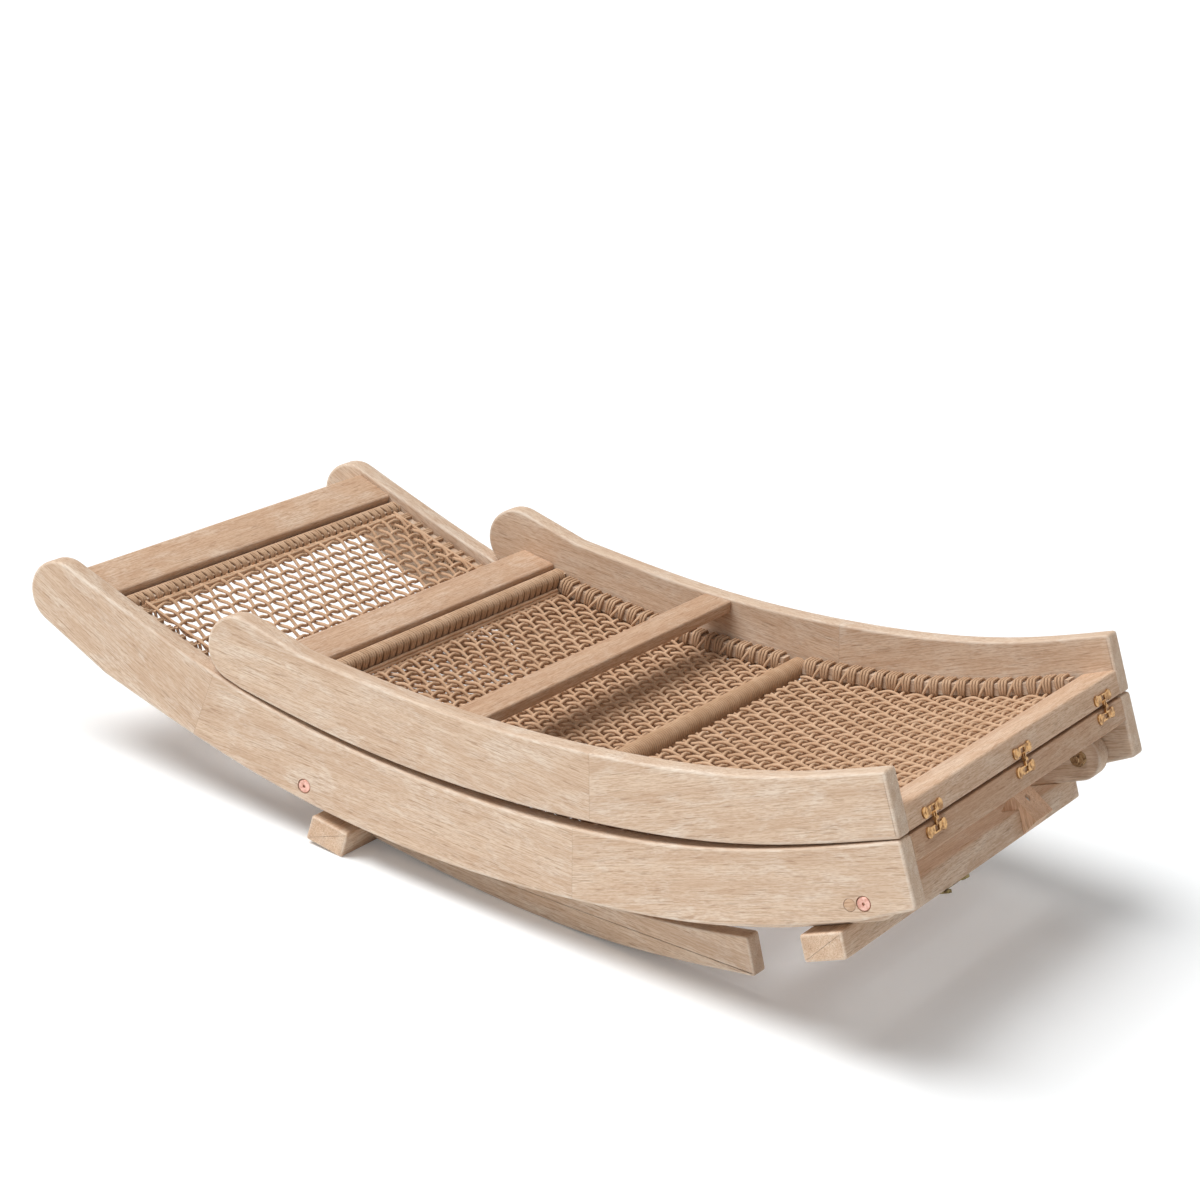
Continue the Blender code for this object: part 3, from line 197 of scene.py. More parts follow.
def easedPrism(outline, near, far, ease, corner):
    # rows of the outline along y; near each end a row sits ease (1 - cos a) from the end
    # and is drawn in by ease (1 - sin a)
    outline = softCorners(outline, corner)
    area = np.sum(outline[:, 0] * np.roll(outline[:, 1], -1) - outline[:, 1] * np.roll(outline[:, 0], -1))
    outline = outline if area > 0 else outline[::-1]
    step = unit(np.roll(outline, -1, 0) - outline)
    normal = np.stack([-step[:, 1], step[:, 0]], -1)
    last = np.roll(normal, 1, 0)
    mitre = (normal + last) / np.maximum(1 + (normal * last).sum(1, keepdims=True), easing["leastMitre"])
    angle = np.linspace(0, math.pi / 2, easing["edgeSteps"])
    inward = np.concatenate([[ease + easing["capMargin"]], ease * (1 - np.sin(angle)), [0]])
    depth = np.concatenate([[0], ease * (1 - np.cos(angle)), [ease * easing["bodyMargin"]]])
    edgePaling = np.array(easing["edgePaling"], float)
    inset = np.concatenate([inward, inward[::-1]])
    y = np.concatenate([near + depth, far - depth[::-1]])
    flat = outline[None] + inset[:, None, None] * mitre[None]
    points = np.stack([flat[..., 0], np.broadcast_to(y[:, None], flat.shape[:2]), flat[..., 1]], -1)
    index = np.arange(points.shape[0] * points.shape[1]).reshape(points.shape[:2])
    beside = np.roll(index, -1, 1)
    quads = np.stack([index[:-1], index[1:], beside[1:], beside[:-1]], -1).reshape(-1, 4)
    paleEdges = np.broadcast_to(np.concatenate([edgePaling, edgePaling[::-1]])[:, None], flat.shape[:2])
    caps = [index[0].tolist(), index[-1][::-1].tolist()]
    return points.reshape(-1, 3), quads.tolist() + caps, paleEdges.ravel()


def lathe(profile, centre, farSide=False, count=40):
    # (radius, depth) profile turned round a line along y: (x, z) = centre + radius (cos a, sin a), the other
    # way round on the far side, and depth is measured from the board's outer face
    profile = np.array(profile, float)
    angle = np.linspace(0, 2 * math.pi, count, endpoint=False)
    y = drawing["width"] - profile[:, 1] if farSide else profile[:, 1]
    sense = -1 if farSide else 1
    ring = profile[:, :1] * np.stack([np.cos(angle) * sense, np.sin(angle)], 0)[:, None, :]
    points = np.stack([centre[0] + ring[0], np.repeat(y[:, None], count, 1), centre[1] + ring[1]], -1)
    index = np.arange(points.shape[0] * count).reshape(-1, count)
    beside = np.roll(index, -1, 1)
    quads = np.stack([index[:-1], index[1:], beside[1:], beside[:-1]], -1).reshape(-1, 4)
    marks = np.zeros(points.shape[0] * count)
    return points.reshape(-1, 3), quads.tolist() + [index[0].tolist(), index[-1][::-1].tolist()], marks


def cordMesh(paths, reference, radius, sides=6, creaseShade=0.0):
    # a ring round each path point: point + radius (cos a side + sin a up),
    # where side is square to the path and to the reference
    tangent = unit(np.gradient(paths, axis=1))
    side = unit(np.cross(tangent, np.broadcast_to(reference, paths.shape)))
    up = np.cross(side, tangent)
    angle = np.arange(sides) * 2 * math.pi / sides
    ring = np.cos(angle)[:, None] * side[:, :, None] + np.sin(angle)[:, None] * up[:, :, None]
    points = paths[:, :, None] + radius * ring
    index = np.arange(points[..., 0].size).reshape(points.shape[:3])
    beside = np.roll(index, -1, 2)
    quads = np.stack([index[:, :-1], index[:, 1:], beside[:, 1:], beside[:, :-1]], -1).reshape(-1, 4)
    # each point's mark is painted shade, the crease amount times sin^2 a, darkest on the two sides that face
    # the neighbouring turns
    marks = np.broadcast_to(creaseShade * np.sin(angle) ** 2, points.shape[:3]).ravel()
    return points.reshape(-1, 3), quads.tolist() + index[:, 0].tolist() + index[:, -1, ::-1].tolist(), marks


def joined(*parts):
    # several (points, faces, marks) sets as one
    points, faces, marks, count = [], [], [], 0
    for partPoints, partFaces, partMarks in parts:
        points.append(partPoints)
        marks.append(partMarks)
        faces += [[corner + count for corner in face] for face in partFaces]
        count += len(partPoints)
    return np.concatenate(points), faces, np.concatenate(marks)


# Materials

def newGroup(name, inputs, outputs):
    # an empty shader group with its sockets, and its input and output nodes
    group = bpy.data.node_groups.new(name, "ShaderNodeTree")
    for label, kind, value in inputs:
        socket = group.interface.new_socket(label, in_out="INPUT", socket_type=kind)
        if value is not None:
            socket.default_value = value
    for label, kind in outputs:
        group.interface.new_socket(label, in_out="OUTPUT", socket_type=kind)
    return group, group.nodes.new("NodeGroupInput"), group.nodes.new("NodeGroupOutput")


def newMaterial(name):
    # a material, its tree and its Principled shader
    material = bpy.data.materials.new(name)
    material.use_nodes = True
    return material, material.node_tree, material.node_tree.nodes["Principled BSDF"]


def math2(tree, operation, first, second=0.0, third=0.0):
    # one Math node; each of its values is a number or another node's output
    node = tree.nodes.new("ShaderNodeMath")
    node.operation = operation
    for socket, value in zip(node.inputs, (first, second, third)):
        if isinstance(value, (int, float)):
            socket.default_value = value
        else:
            tree.links.new(value, socket)
    return node.outputs[0]


def noise(tree, vector, scale, detail=3.0, rough=0.5, distortion=0.0):
    # one Noise Texture node's value at vector times scale
    node = tree.nodes.new("ShaderNodeTexNoise")
    tree.links.new(vector, node.inputs["Vector"])
    settings = {"Scale": scale, "Detail": detail, "Roughness": rough, "Distortion": distortion}
    for label, value in settings.items():
        node.inputs[label].default_value = value
    return node.outputs["Fac"]


def scaled(tree, vector, amounts):
    # the vector times (a, b, c), so that a pattern is drawn out along one axis
    node = tree.nodes.new("ShaderNodeVectorMath")
    node.operation = "MULTIPLY"
    tree.links.new(vector, node.inputs[0])
    node.inputs[1].default_value = amounts
    return node.outputs[0]


def ramp(tree, value, low, high):
    # smooth step from 0 at low to 1 at high
    node = tree.nodes.new("ShaderNodeMapRange")
    node.interpolation_type = "SMOOTHSTEP"
    tree.links.new(value, node.inputs["Value"])
    node.inputs["From Min"].default_value = low
    node.inputs["From Max"].default_value = high
    return node.outputs["Result"]


def mixColour(tree, factor, first, second):
    # first (1 - factor) + second factor; colours are three numbers or another node's output
    node = tree.nodes.new("ShaderNodeMix")
    node.data_type = "RGBA"
    for socket, value in ((node.inputs[0], factor), (node.inputs[6], first), (node.inputs[7], second)):
        if isinstance(value, (int, float)):
            socket.default_value = value
        elif isinstance(value, tuple):
            socket.default_value = (*value, 1.0)
        else:
            tree.links.new(value, socket)
    return node.outputs[2]


def addBump(tree, shader, height, strength, distance):
    # the height map tilts the shader's normal
    bump = tree.nodes.new("ShaderNodeBump")
    bump.inputs["Strength"].default_value = strength
    bump.inputs["Distance"].default_value = distance
    tree.links.new(height, bump.inputs["Height"])
    tree.links.new(bump.outputs["Normal"], shader.inputs["Normal"])


# The side boards are planks glued end to end round an arc
plankArc = {
    "centre": (-0.071, 1.38),
    "back": (0.1946, 0.3814),  # first joint's angle, then the angle that one plank spans
    "foot": (0.2113, 0.4600),
    "grainStep": (3.37, 1.71),  # how far each plank's grain lies from the next one's, in metres
    "jointWidth": 0.0010,  # share of a plank
}


def makePlankTurn():
    # (angle seen from the arc's centre - first joint) / plank's angle: its whole part picks the plank,
    # whose straight grain is turned to that plank's slope and moved aside by its number
    group, given, out = newGroup("plankTurn", [("Vector", "NodeSocketVector", None),
                                               ("Centre X", "NodeSocketFloat", plankArc["centre"][0]),
                                               ("Centre Z", "NodeSocketFloat", plankArc["centre"][1]),
                                               ("First Joint", "NodeSocketFloat", plankArc["back"][0]),
                                               ("Plank Turn", "NodeSocketFloat", plankArc["back"][1])],
                                 [("Vector", "NodeSocketVector"), ("Joint", "NodeSocketFloat")])
    split = group.nodes.new("ShaderNodeSeparateXYZ")
    group.links.new(given.outputs["Vector"], split.inputs[0])
    x = math2(group, "SUBTRACT", split.outputs[0], given.outputs["Centre X"])
    z = math2(group, "SUBTRACT", given.outputs["Centre Z"], split.outputs[2])
    angle = math2(group, "ARCTAN2", x, z)
    count = math2(group, "DIVIDE", math2(group, "SUBTRACT", angle, given.outputs["First Joint"]),
                  given.outputs["Plank Turn"])
    number = math2(group, "FLOOR", count)
    share = math2(group, "SUBTRACT", count, number)
    half = math2(group, "ADD", number, 0.5)
    middle = math2(group, "MULTIPLY_ADD", half, given.outputs["Plank Turn"], given.outputs["First Joint"])
    turn = group.nodes.new("ShaderNodeVectorRotate")
    turn.rotation_type = "Y_AXIS"
    group.links.new(given.outputs["Vector"], turn.inputs["Vector"])
    group.links.new(middle, turn.inputs["Angle"])
    aside = group.nodes.new("ShaderNodeCombineXYZ")
    along, up = plankArc["grainStep"]
    group.links.new(math2(group, "MULTIPLY", number, along), aside.inputs[0])
    group.links.new(math2(group, "MULTIPLY", number, up), aside.inputs[2])
    total = group.nodes.new("ShaderNodeVectorMath")
    group.links.new(turn.outputs[0], total.inputs[0])
    group.links.new(aside.outputs[0], total.inputs[1])
    group.links.new(total.outputs[0], out.inputs["Vector"])
    nearEnd = math2(group, "MINIMUM", share, math2(group, "SUBTRACT", 1.0, share))
    group.links.new(math2(group, "LESS_THAN", nearEnd, plankArc["jointWidth"]), out.inputs["Joint"])
    return group


def arcPlanks(half):
    # the plank group's values for the boards of one half
    firstJoint, plankAngle = plankArc[half]
    return {"Centre X": plankArc["centre"][0], "Centre Z": plankArc["centre"][1], "First Joint": firstJoint,
            "Plank Turn": plankAngle}


# Each noise: scales along and across the grain, detail, roughness, distortion
grainPattern = {
    "band": ((2.6, 60, 60), 3.0, 0.5, 0.4),
    "fibre": ((26, 700, 700), 3.0, 0.6, 0.15),
    "fine": ((130, 1300, 1300), 2.0, 0.5, 0.0),
    "pore": ((40, 560, 560), 2.0, 0.5, 0.0),
    "patch": ((16, 42, 42), 5.0, 0.68, 0.8),
    "bandRamp": (0.32, 0.68),
    "poreRamp": (0.60, 0.70),
    "washRamp": (0.41, 0.70),
    "fibreRamp": (0.45, 0.57),
    "fineShare": 0.45,
    "fibreShare": 0.55,
    "poreDepth": 0.5,
}


def makeGrain():
    # hardwood with its grain along x: wide soft bands, hairline fibres, short dark pores, and a thin
    # white wash that stays in patches; height = fibres less the pores
    group, given, out = newGroup("hardwoodGrain", [("Vector", "NodeSocketVector", None),
                                                   ("Seed", "NodeSocketFloat", 0.0)],
                                 [("Band", "NodeSocketFloat"), ("Pore", "NodeSocketFloat"),
                                  ("Wash", "NodeSocketFloat"), ("Fibre", "NodeSocketFloat"),
                                  ("Height", "NodeSocketFloat")])
    moved = group.nodes.new("ShaderNodeVectorMath")
    group.links.new(given.outputs["Vector"], moved.inputs[0])
    group.links.new(given.outputs["Seed"], moved.inputs[1])
    at = moved.outputs[0]

    def layer(kind):
        # one noise of the pattern, at the place times its own three scales
        scales, detail, rough, distortion = grainPattern[kind]
        return noise(group, scaled(group, at, scales), 1.0, detail, rough, distortion)

    pores = ramp(group, layer("pore"), *grainPattern["poreRamp"])
    strands = math2(group, "MULTIPLY_ADD", layer("fine"), grainPattern["fineShare"],
                    math2(group, "MULTIPLY", layer("fibre"), grainPattern["fibreShare"]))
    group.links.new(ramp(group, layer("band"), *grainPattern["bandRamp"]), out.inputs["Band"])
    group.links.new(pores, out.inputs["Pore"])
    group.links.new(ramp(group, layer("patch"), *grainPattern["washRamp"]), out.inputs["Wash"])
    group.links.new(ramp(group, strands, *grainPattern["fibreRamp"]), out.inputs["Fibre"])
    height = math2(group, "SUBTRACT", strands, math2(group, "MULTIPLY", pores, grainPattern["poreDepth"]))
    group.links.new(height, out.inputs["Height"])
    return group


plankTurn = makePlankTurn()
hardwoodGrain = makeGrain()

woodFinish = {
    "base": (0.710, 0.545, 0.405),
    "dark": (0.500, 0.320, 0.205),
    "pore": (0.320, 0.180, 0.105),
    "wash": (0.800, 0.700, 0.590),
    "bandShare": 0.46,
    "washShare": 0.60,
    "fibreShare": 0.64,
    "poreShare": 0.45,
    "jointShare": 0.22,
    "leastPaling": 0.25,
    "washPaling": 0.4,
    "roughness": 0.66,
    "poreRoughness": 0.2,
    "specular": 0.3,
    "bump": (0.35, 0.0006),
}
# what each kind of piece multiplies the wood's colours by
tints = {
    "board": (1.0, 1.0, 1.0),
    "bar": (0.97, 0.88, 0.81),
    # paintedShade is painted shade: darker wood for pieces the light misses, the back end rail's end face and
    # the foot brace beneath
    "paintedShade": (0.83, 0.71, 0.62),
    "slat": (0.91, 0.81, 0.74),
    "stopBar": (1.0, 0.97, 0.94),
    "plug": (0.97, 0.90, 0.84),
    # stopBlock is painted light: the block's wood is made lighter because the block sits in shadow
    "stopBlock": (1.15, 1.03, 0.94),
}
# where the first piece of a kind takes its wood from, and how far on the next one does
grainSeeds = {
    "backBoard": (3.1, 7),
    "footBoard": (5.7, 9),
    "bar": (11.3, 2.9),
    "rod": (41.0, 3.3),
    "leg": (61.0, 5.3),
    "plug": (81.0, 1),
    "stopBlock": (91.0, 1),
    "sideBar": (95.0, 1),
}


def grainSeed(kind, number):
    # first + step number
    first, step = grainSeeds[kind]
    return first + step * number


def woodMaterial(name, seed, direction="y", slope=0.0, planks=None, tint="board"):
    # bands, wash, fibres, pores, joints and paler eased edges laid over the base, each by its own share;
    # direction says whether the grain runs along y or x, slope turns x grain, planks bends it round an arc
    material, tree, shader = newMaterial(name)
    vector = tree.nodes.new("ShaderNodeTexCoord").outputs["Object"]
    joint = None
    if planks:
        bent = tree.nodes.new("ShaderNodeGroup")
        bent.node_tree = plankTurn
        tree.links.new(vector, bent.inputs["Vector"])
        for label, value in planks.items():
            bent.inputs[label].default_value = value
        vector, joint = bent.outputs["Vector"], bent.outputs["Joint"]
    else:
        turn = tree.nodes.new("ShaderNodeMapping")
        tree.links.new(vector, turn.inputs["Vector"])
        turn.inputs["Rotation"].default_value = (0, slope, 0) if direction == "x" else (0, 0, math.pi / 2)
        vector = turn.outputs["Vector"]
    grain = tree.nodes.new("ShaderNodeGroup")
    grain.node_tree = hardwoodGrain
    tree.links.new(vector, grain.inputs["Vector"])
    grain.inputs["Seed"].default_value = seed
    base, dark, pore, wash = (tuple(min(1.0, c * t) for c, t in zip(woodFinish[k], tints[tint]))
                              for k in ("base", "dark", "pore", "wash"))

    def laid(under, mask, share, over):
        # under (1 - mask share) + over mask share
        return mixColour(tree, math2(tree, "MULTIPLY", mask, woodFinish[share]), under, over)

    colour = laid(base, grain.outputs["Band"], "bandShare", dark)
    colour = laid(colour, grain.outputs["Wash"], "washShare", wash)
    colour = laid(colour, grain.outputs["Fibre"], "fibreShare", dark)
    colour = laid(colour, grain.outputs["Pore"], "poreShare", pore)
    if joint is not None:
        colour = laid(colour, joint, "jointShare", pore)
    # the wood turns paler toward the wash along the eased edges, by each point's mark
    paleEdges = tree.nodes.new("ShaderNodeAttribute")
    paleEdges.attribute_name = "mark"
    edgePaling = math2(tree, "MULTIPLY_ADD", grain.outputs["Wash"], woodFinish["washPaling"], woodFinish["leastPaling"])
    colour = mixColour(tree, math2(tree, "MULTIPLY", paleEdges.outputs["Fac"], edgePaling), colour, wash)
    tree.links.new(colour, shader.inputs["Base Color"])
    rough = math2(tree, "MULTIPLY_ADD", grain.outputs["Pore"], woodFinish["poreRoughness"],
                  woodFinish["roughness"])
    tree.links.new(rough, shader.inputs["Roughness"])
    shader.inputs["Specular IOR Level"].default_value = woodFinish["specular"]
    addBump(tree, shader, grain.outputs["Height"], *woodFinish["bump"])
    return material


ropeFinish = {
    "base": (0.600, 0.415, 0.275),
    "dark": (0.380, 0.240, 0.145),
    "light": (0.720, 0.530, 0.375),
    # painted shade: the colour a cord takes where it lies pressed between two turns
    "creaseShade": (0.160, 0.080, 0.040),
    "seedStep": 0.7,
    "yarn": (900.0, 2.0, 0.6),  # noise scale, detail, roughness
    "tone": (45.0, 3.0, 0.6),
    "yarnRamp": (0.5, 0.75),
    "toneRamp": (0.35, 0.68),
    "yarnShare": 0.5,
    "roughness": 0.85,
    "specular": 0.2,
    "bump": (0.5, 0.0005),
}


def ropeMaterial(name, seed, tint):
    # braided cord: fine flecks of darker yarn over slow changes of tone, and painted shade in the creases
    # between turns over both
    material, tree, shader = newMaterial(name)
    vector = tree.nodes.new("ShaderNodeMapping")
    tree.links.new(tree.nodes.new("ShaderNodeTexCoord").outputs["Object"], vector.inputs["Vector"])
    vector.inputs["Location"].default_value = (seed, seed * ropeFinish["seedStep"], 0)
    at = vector.outputs["Vector"]
    yarn = noise(tree, at, *ropeFinish["yarn"])
    tone = noise(tree, at, *ropeFinish["tone"])
    base, dark, light = (tuple(c * t for c, t in zip(ropeFinish[k], tint)) for k in ("base", "dark", "light"))
    colour = mixColour(tree, ramp(tree, tone, *ropeFinish["toneRamp"]), base, light)
    flecks = math2(tree, "MULTIPLY", ramp(tree, yarn, *ropeFinish["yarnRamp"]), ropeFinish["yarnShare"])
    colour = mixColour(tree, flecks, colour, dark)
    # painted shade between the turns, laid on by each point's mark
    creaseShade = tree.nodes.new("ShaderNodeAttribute")
    creaseShade.attribute_name = "mark"
    colour = mixColour(tree, creaseShade.outputs["Fac"], colour, ropeFinish["creaseShade"])
    tree.links.new(colour, shader.inputs["Base Color"])
    shader.inputs["Roughness"].default_value = ropeFinish["roughness"]
    shader.inputs["Specular IOR Level"].default_value = ropeFinish["specular"]
    addBump(tree, shader, yarn, *ropeFinish["bump"])
    return material


metalFinish = {
    "patch": (160.0, 4.0, 0.6),  # noise scale, detail, roughness
    "patchRamp": (0.42, 0.62),
    "patchRoughness": 0.35,
    "scratch": (900, 60, 900),
    "scratchDetail": 2.0,
    "bump": (0.25, 0.0002),
}


def metalMaterial(name, bright, dull, roughness, seed):
    # bare metal with fine scratches along y; where the patches of age are strong it is duller and rougher
    material, tree, shader = newMaterial(name)
    at = tree.nodes.new("ShaderNodeTexCoord").outputs["Object"]
    patch = noise(tree, scaled(tree, at, (1 + seed, 1, 1)), *metalFinish["patch"])
    scratch = noise(tree, scaled(tree, at, metalFinish["scratch"]), 1.0, metalFinish["scratchDetail"])
    colour = mixColour(tree, ramp(tree, patch, *metalFinish["patchRamp"]), bright, dull)
    tree.links.new(colour, shader.inputs["Base Color"])
    rough = math2(tree, "MULTIPLY_ADD", patch, metalFinish["patchRoughness"], roughness)
    tree.links.new(rough, shader.inputs["Roughness"])
    shader.inputs["Metallic"].default_value = 1.0
    addBump(tree, shader, scratch, *metalFinish["bump"])
    return material


# bright colour, dull colour, roughness, seed
brassFinish = metalMaterial("agedBrass", (0.66, 0.39, 0.16), (0.30, 0.15, 0.055), 0.20, 0.0)
darkBrass = metalMaterial("darkBrass", (0.23, 0.18, 0.08), (0.09, 0.06, 0.03), 0.26, 0.1)
nutFinish = metalMaterial("bronzeNut", (0.44, 0.30, 0.17), (0.21, 0.13, 0.07), 0.30, 0.3)
copperFinish = metalMaterial("copperBolt", (0.80, 0.50, 0.42), (0.62, 0.34, 0.27), 0.30, 0.2)
steelFinish = metalMaterial("satinSteel", (0.62, 0.60, 0.57), (0.45, 0.43, 0.40), 0.32, 0.4)
print("materials made")


# Side boards

def arc(centre, radius, start, end, count):
    # points at centre + radius (cos a, sin a), with a going evenly from start to end
    angle = np.linspace(start, end, count)
    return np.asarray(centre) + radius * np.stack([np.cos(angle), np.sin(angle)], -1)


def touchAngle(centre, radius, point, side):
    # where a line from the point touches the circle: the
    # point's own angle plus or minus acos(radius / distance)
    away = np.asarray(point) - np.asarray(centre)
    return math.atan2(away[1], away[0]) + side * math.acos(radius / math.hypot(*away))


def boardOutline(upper, lower, upperPoints, lowerPoints, nose, extra=()):
    # along the upper edge to the round end, round it between
    # the two tangents, and back along the lower edge
    centre, radius = nose
    count = boards["curvePoints"]
    top = upper(np.linspace(max(upperPoints)[0], min(upperPoints)[0], count))
    bottom = lower(np.linspace(min(lowerPoints)[0], max(lowerPoints)[0], count))
    first = touchAngle(centre, radius, top[-1], 1)
    last = touchAngle(centre, radius, bottom[0], -1) + 2 * math.pi
    ends = [np.array([point]) for point in extra]
    return np.concatenate([top, arc(centre, radius, first, last, boards["nosePoints"]), bottom] + ends)


# Turned parts as (radius, depth); depth starts at the
# board's outer face, for washer, nut and tip at the washer
bolts = {
    "recessRadius": 0.0086,
    "recessDepth": 0.0025,
    "plug": (-0.0545, -0.0790),
    "plugRadius": 0.00675,
    "plugDepth": 0.0103,
    "cutterStart": -0.004,
    "cutterSides": 36,
    "head": ((0.0018, 0.0034), (0.0018, 0.0003), (0.0056, 0.0), (0.0069, 0.0003), (0.0075, 0.0010),
             (0.0075, 0.0022), (0.0040, 0.0022)),
    "shaftRadius": 0.0040,
    "shaftPast": 0.0001,
    "washer": ((0.0042, 0.0), (0.0100, 0.0), (0.0100, 0.0010), (0.0085, 0.0014)),
    "nut": ((0.0042, 0.0), (0.0080, 0.0), (0.0085, 0.0008), (0.0085, 0.0052), (0.0080, 0.0060),
            (0.0042, 0.0060)),
    "nutSides": 6,
    "tip": ((0.0040, 0.0), (0.0040, 0.0072), (0.0034, 0.0080)),
    "plugProfile": ((0.0058, 0.0), (0.0064, 0.0002), (0.0067, 0.0007), (0.0067, 0.0100)),
    "plugGrain": 0.5,
    "smoothAngle": 30,
}


def drillHoles(piece, holes, isFar):
    # each hole, (x, z) with a radius and a depth, is a
    # cylinder cut in from just outside the board's outer face
    for place, radius, depth in holes:
        points, faces = lathe([(radius, bolts["cutterStart"]), (radius, depth)], place, isFar,
                              bolts["cutterSides"])[:2]
        mesh = bpy.data.meshes.new("cutter")
        mesh.from_pydata(toRow(points).tolist(), [], faces)
        cutter = bpy.data.objects.new("cutter", mesh)
        bpy.context.scene.collection.objects.link(cutter)
        cut = piece.modifiers.new("hole", "BOOLEAN")
        cut.operation, cut.solver, cut.object = "DIFFERENCE", "EXACT", cutter
        bpy.context.view_layer.update()
        graph = bpy.context.evaluated_depsgraph_get()
        done = bpy.data.meshes.new_from_object(piece.evaluated_get(graph))
        piece.modifiers.clear()
        piece.data = done
        bpy.data.objects.remove(cutter)
    piece.data.shade_smooth()
    piece.data.set_sharp_from_angle(angle=math.radians(drawing["smoothAngle"]))


def buildBoards():
    # each half's outline stretched over the near board's thickness and over the far one's
    width, thick = drawing["width"], boards["thickness"]
    shapes = {"back": boardOutline(backSeat, backUnder, boards["backSeat"], boards["backUnder"],
                                   boards["headNose"], [boards["backEndCorner"]]),
              "foot": boardOutline(footUnder, footSeat, boards["footUnder"], boards["footSeat"],
                                   boards["footNose"])}
    recess = (bolts["recessRadius"], bolts["recessDepth"])
    holes = [(drawing[pivot], *recess) for pivot in ("rearPivot", "frontPivot")]
    holes.append((bolts["plug"], bolts["plugRadius"] + drawing["fit"], bolts["plugDepth"]))
    for number, (side, low) in enumerate((("near", 0), ("far", width - thick))):
        title = side.capitalize()
        for half, shape in shapes.items():
            wood = woodMaterial(half + "Board" + title + "Wood", grainSeed(half + "Board", number),
                                planks=arcPlanks(half))
            prism = easedPrism(shape, low, low + thick, boards["easedEdge"], boards[half + "Corner"])
            piece = linkMesh(half + "SideBoard" + title, *prism, wood, half + "_half", "wood",
                             replaced=(half + "_side_board_" + side,))
            if half == "back":
                drillHoles(piece, holes, side == "far")


buildBoards()
print("side boards built")


# Bars that cross the lounger, as eased copies of the CAD's straight ones

def stepAlong(edge, x):
    # from the edge's point just before x to the one just after it
    return edge(x + drawing["slopeStep"]) - edge(x - drawing["slopeStep"])


def section(edge, x, inset, width, height):
    # rectangle square to an edge at x: the corners are the edge point plus steps along the edge and inward
    middle = edge(x)
    along = unit(stepAlong(edge, x))
    inward = unit(edge(x, drawing["insetStep"]) - middle)
    half, deep = width / 2, inset + height
    corners = [(-half, inset), (half, inset), (half, deep), (-half, deep)]
    return np.array([middle + a * along + b * inward for a, b in corners])


bars = {
    "inner": 0.0258,
    "slatThickness": 0.0295,
    "slatInset": 0.006,
    "headSlat": (-1.021, 0.052),
    "footSlat": (-0.789, 0.047),
    "brace": (0.038, 0.016, 0.002),
    "backBraceX": -0.455,
    "footBraceX": -0.524,
    "railDepth": 0.043,
    "railHeight": 0.029,
    "railInset": 0.001,
    "stopWidth": 0.0493,
    "stopHeight": 0.0300,
    "rearStopCorner": (-0.716, -0.0930),
    "rearStopSlope": math.radians(-17.4),
    "frontSlope": math.radians(14.3),
    "frontHeadRadius": 0.0270,
    "frontStopStart": 0.0322,
    "stretcher": (0.030, 0.018),
    "frontStretcherReach": 0.140,
    "frontStretcherDrop": 0.004,
    "frontStretcherY": 0.0523,
    "rearStretcherX": -0.330,
    "rearStretcherInset": 0.013,
    "rearStretcherY": 0.0793,
    "ease": 0.0022,
    "corner": 0.0032,
}


def railOutline(corner, out, away):
    # rectangle at a half's hinge end: its depth goes back
    # from the end's face, its height away from the hinge
    front = np.array(corner) + bars["railInset"] * away
    back = front - bars["railDepth"] * out
    return np.array([back, front, front + bars["railHeight"] * away, back + bars["railHeight"] * away])


def legDirections():
    # along the folded front legs to their feet, -(cos s, sin s), and square to it, down, (sin s, -cos s)
    slope = bars["frontSlope"]
    return -np.array([math.cos(slope), math.sin(slope)]), np.array([math.sin(slope), -math.cos(slope)])


def frontStopOutline():
    # rectangle on the front legs' lower edge: one head radius
    # down from the pivot, then its start along the legs
    along, down = legDirections()
    top = np.array(drawing["frontPivot"]) + (bars["frontHeadRadius"] + drawing["fit"]) * down
    first = top + (bars["frontStopStart"] + bars["stopWidth"]) * along
    second = top + bars["frontStopStart"] * along
    return np.array([first, second, second + bars["stopHeight"] * down, first + bars["stopHeight"] * down])


def rearStopOutline():
    # rectangle from its corner: the width along its slope, the height square to it and down
    slope = bars["rearStopSlope"]
    along = np.array([math.cos(slope), math.sin(slope)])
    down = np.array([along[1], -along[0]])
    corner = np.array(bars["rearStopCorner"])
    far = corner + bars["stopWidth"] * along
    return np.array([corner, far, far + bars["stopHeight"] * down, corner + bars["stopHeight"] * down])


# Each half's hinge end: the direction along its face, away from the hinge, and the one out of it
backDown = unit(np.array(boards["backEndCorner"]) - np.array(boards["backSeat"][0]))
footUp = unit(np.array(boards["footUnder"][0]) - np.array(boards["footSeat"][0]))
backOut = np.array([-backDown[1], backDown[0]])
footOut = np.array([footUp[1], -footUp[0]])
rearUnderPoints = ((-0.189, -0.2005), (-0.350, -0.1955), (-0.505, -0.1714))  # the rear legs' lower edge


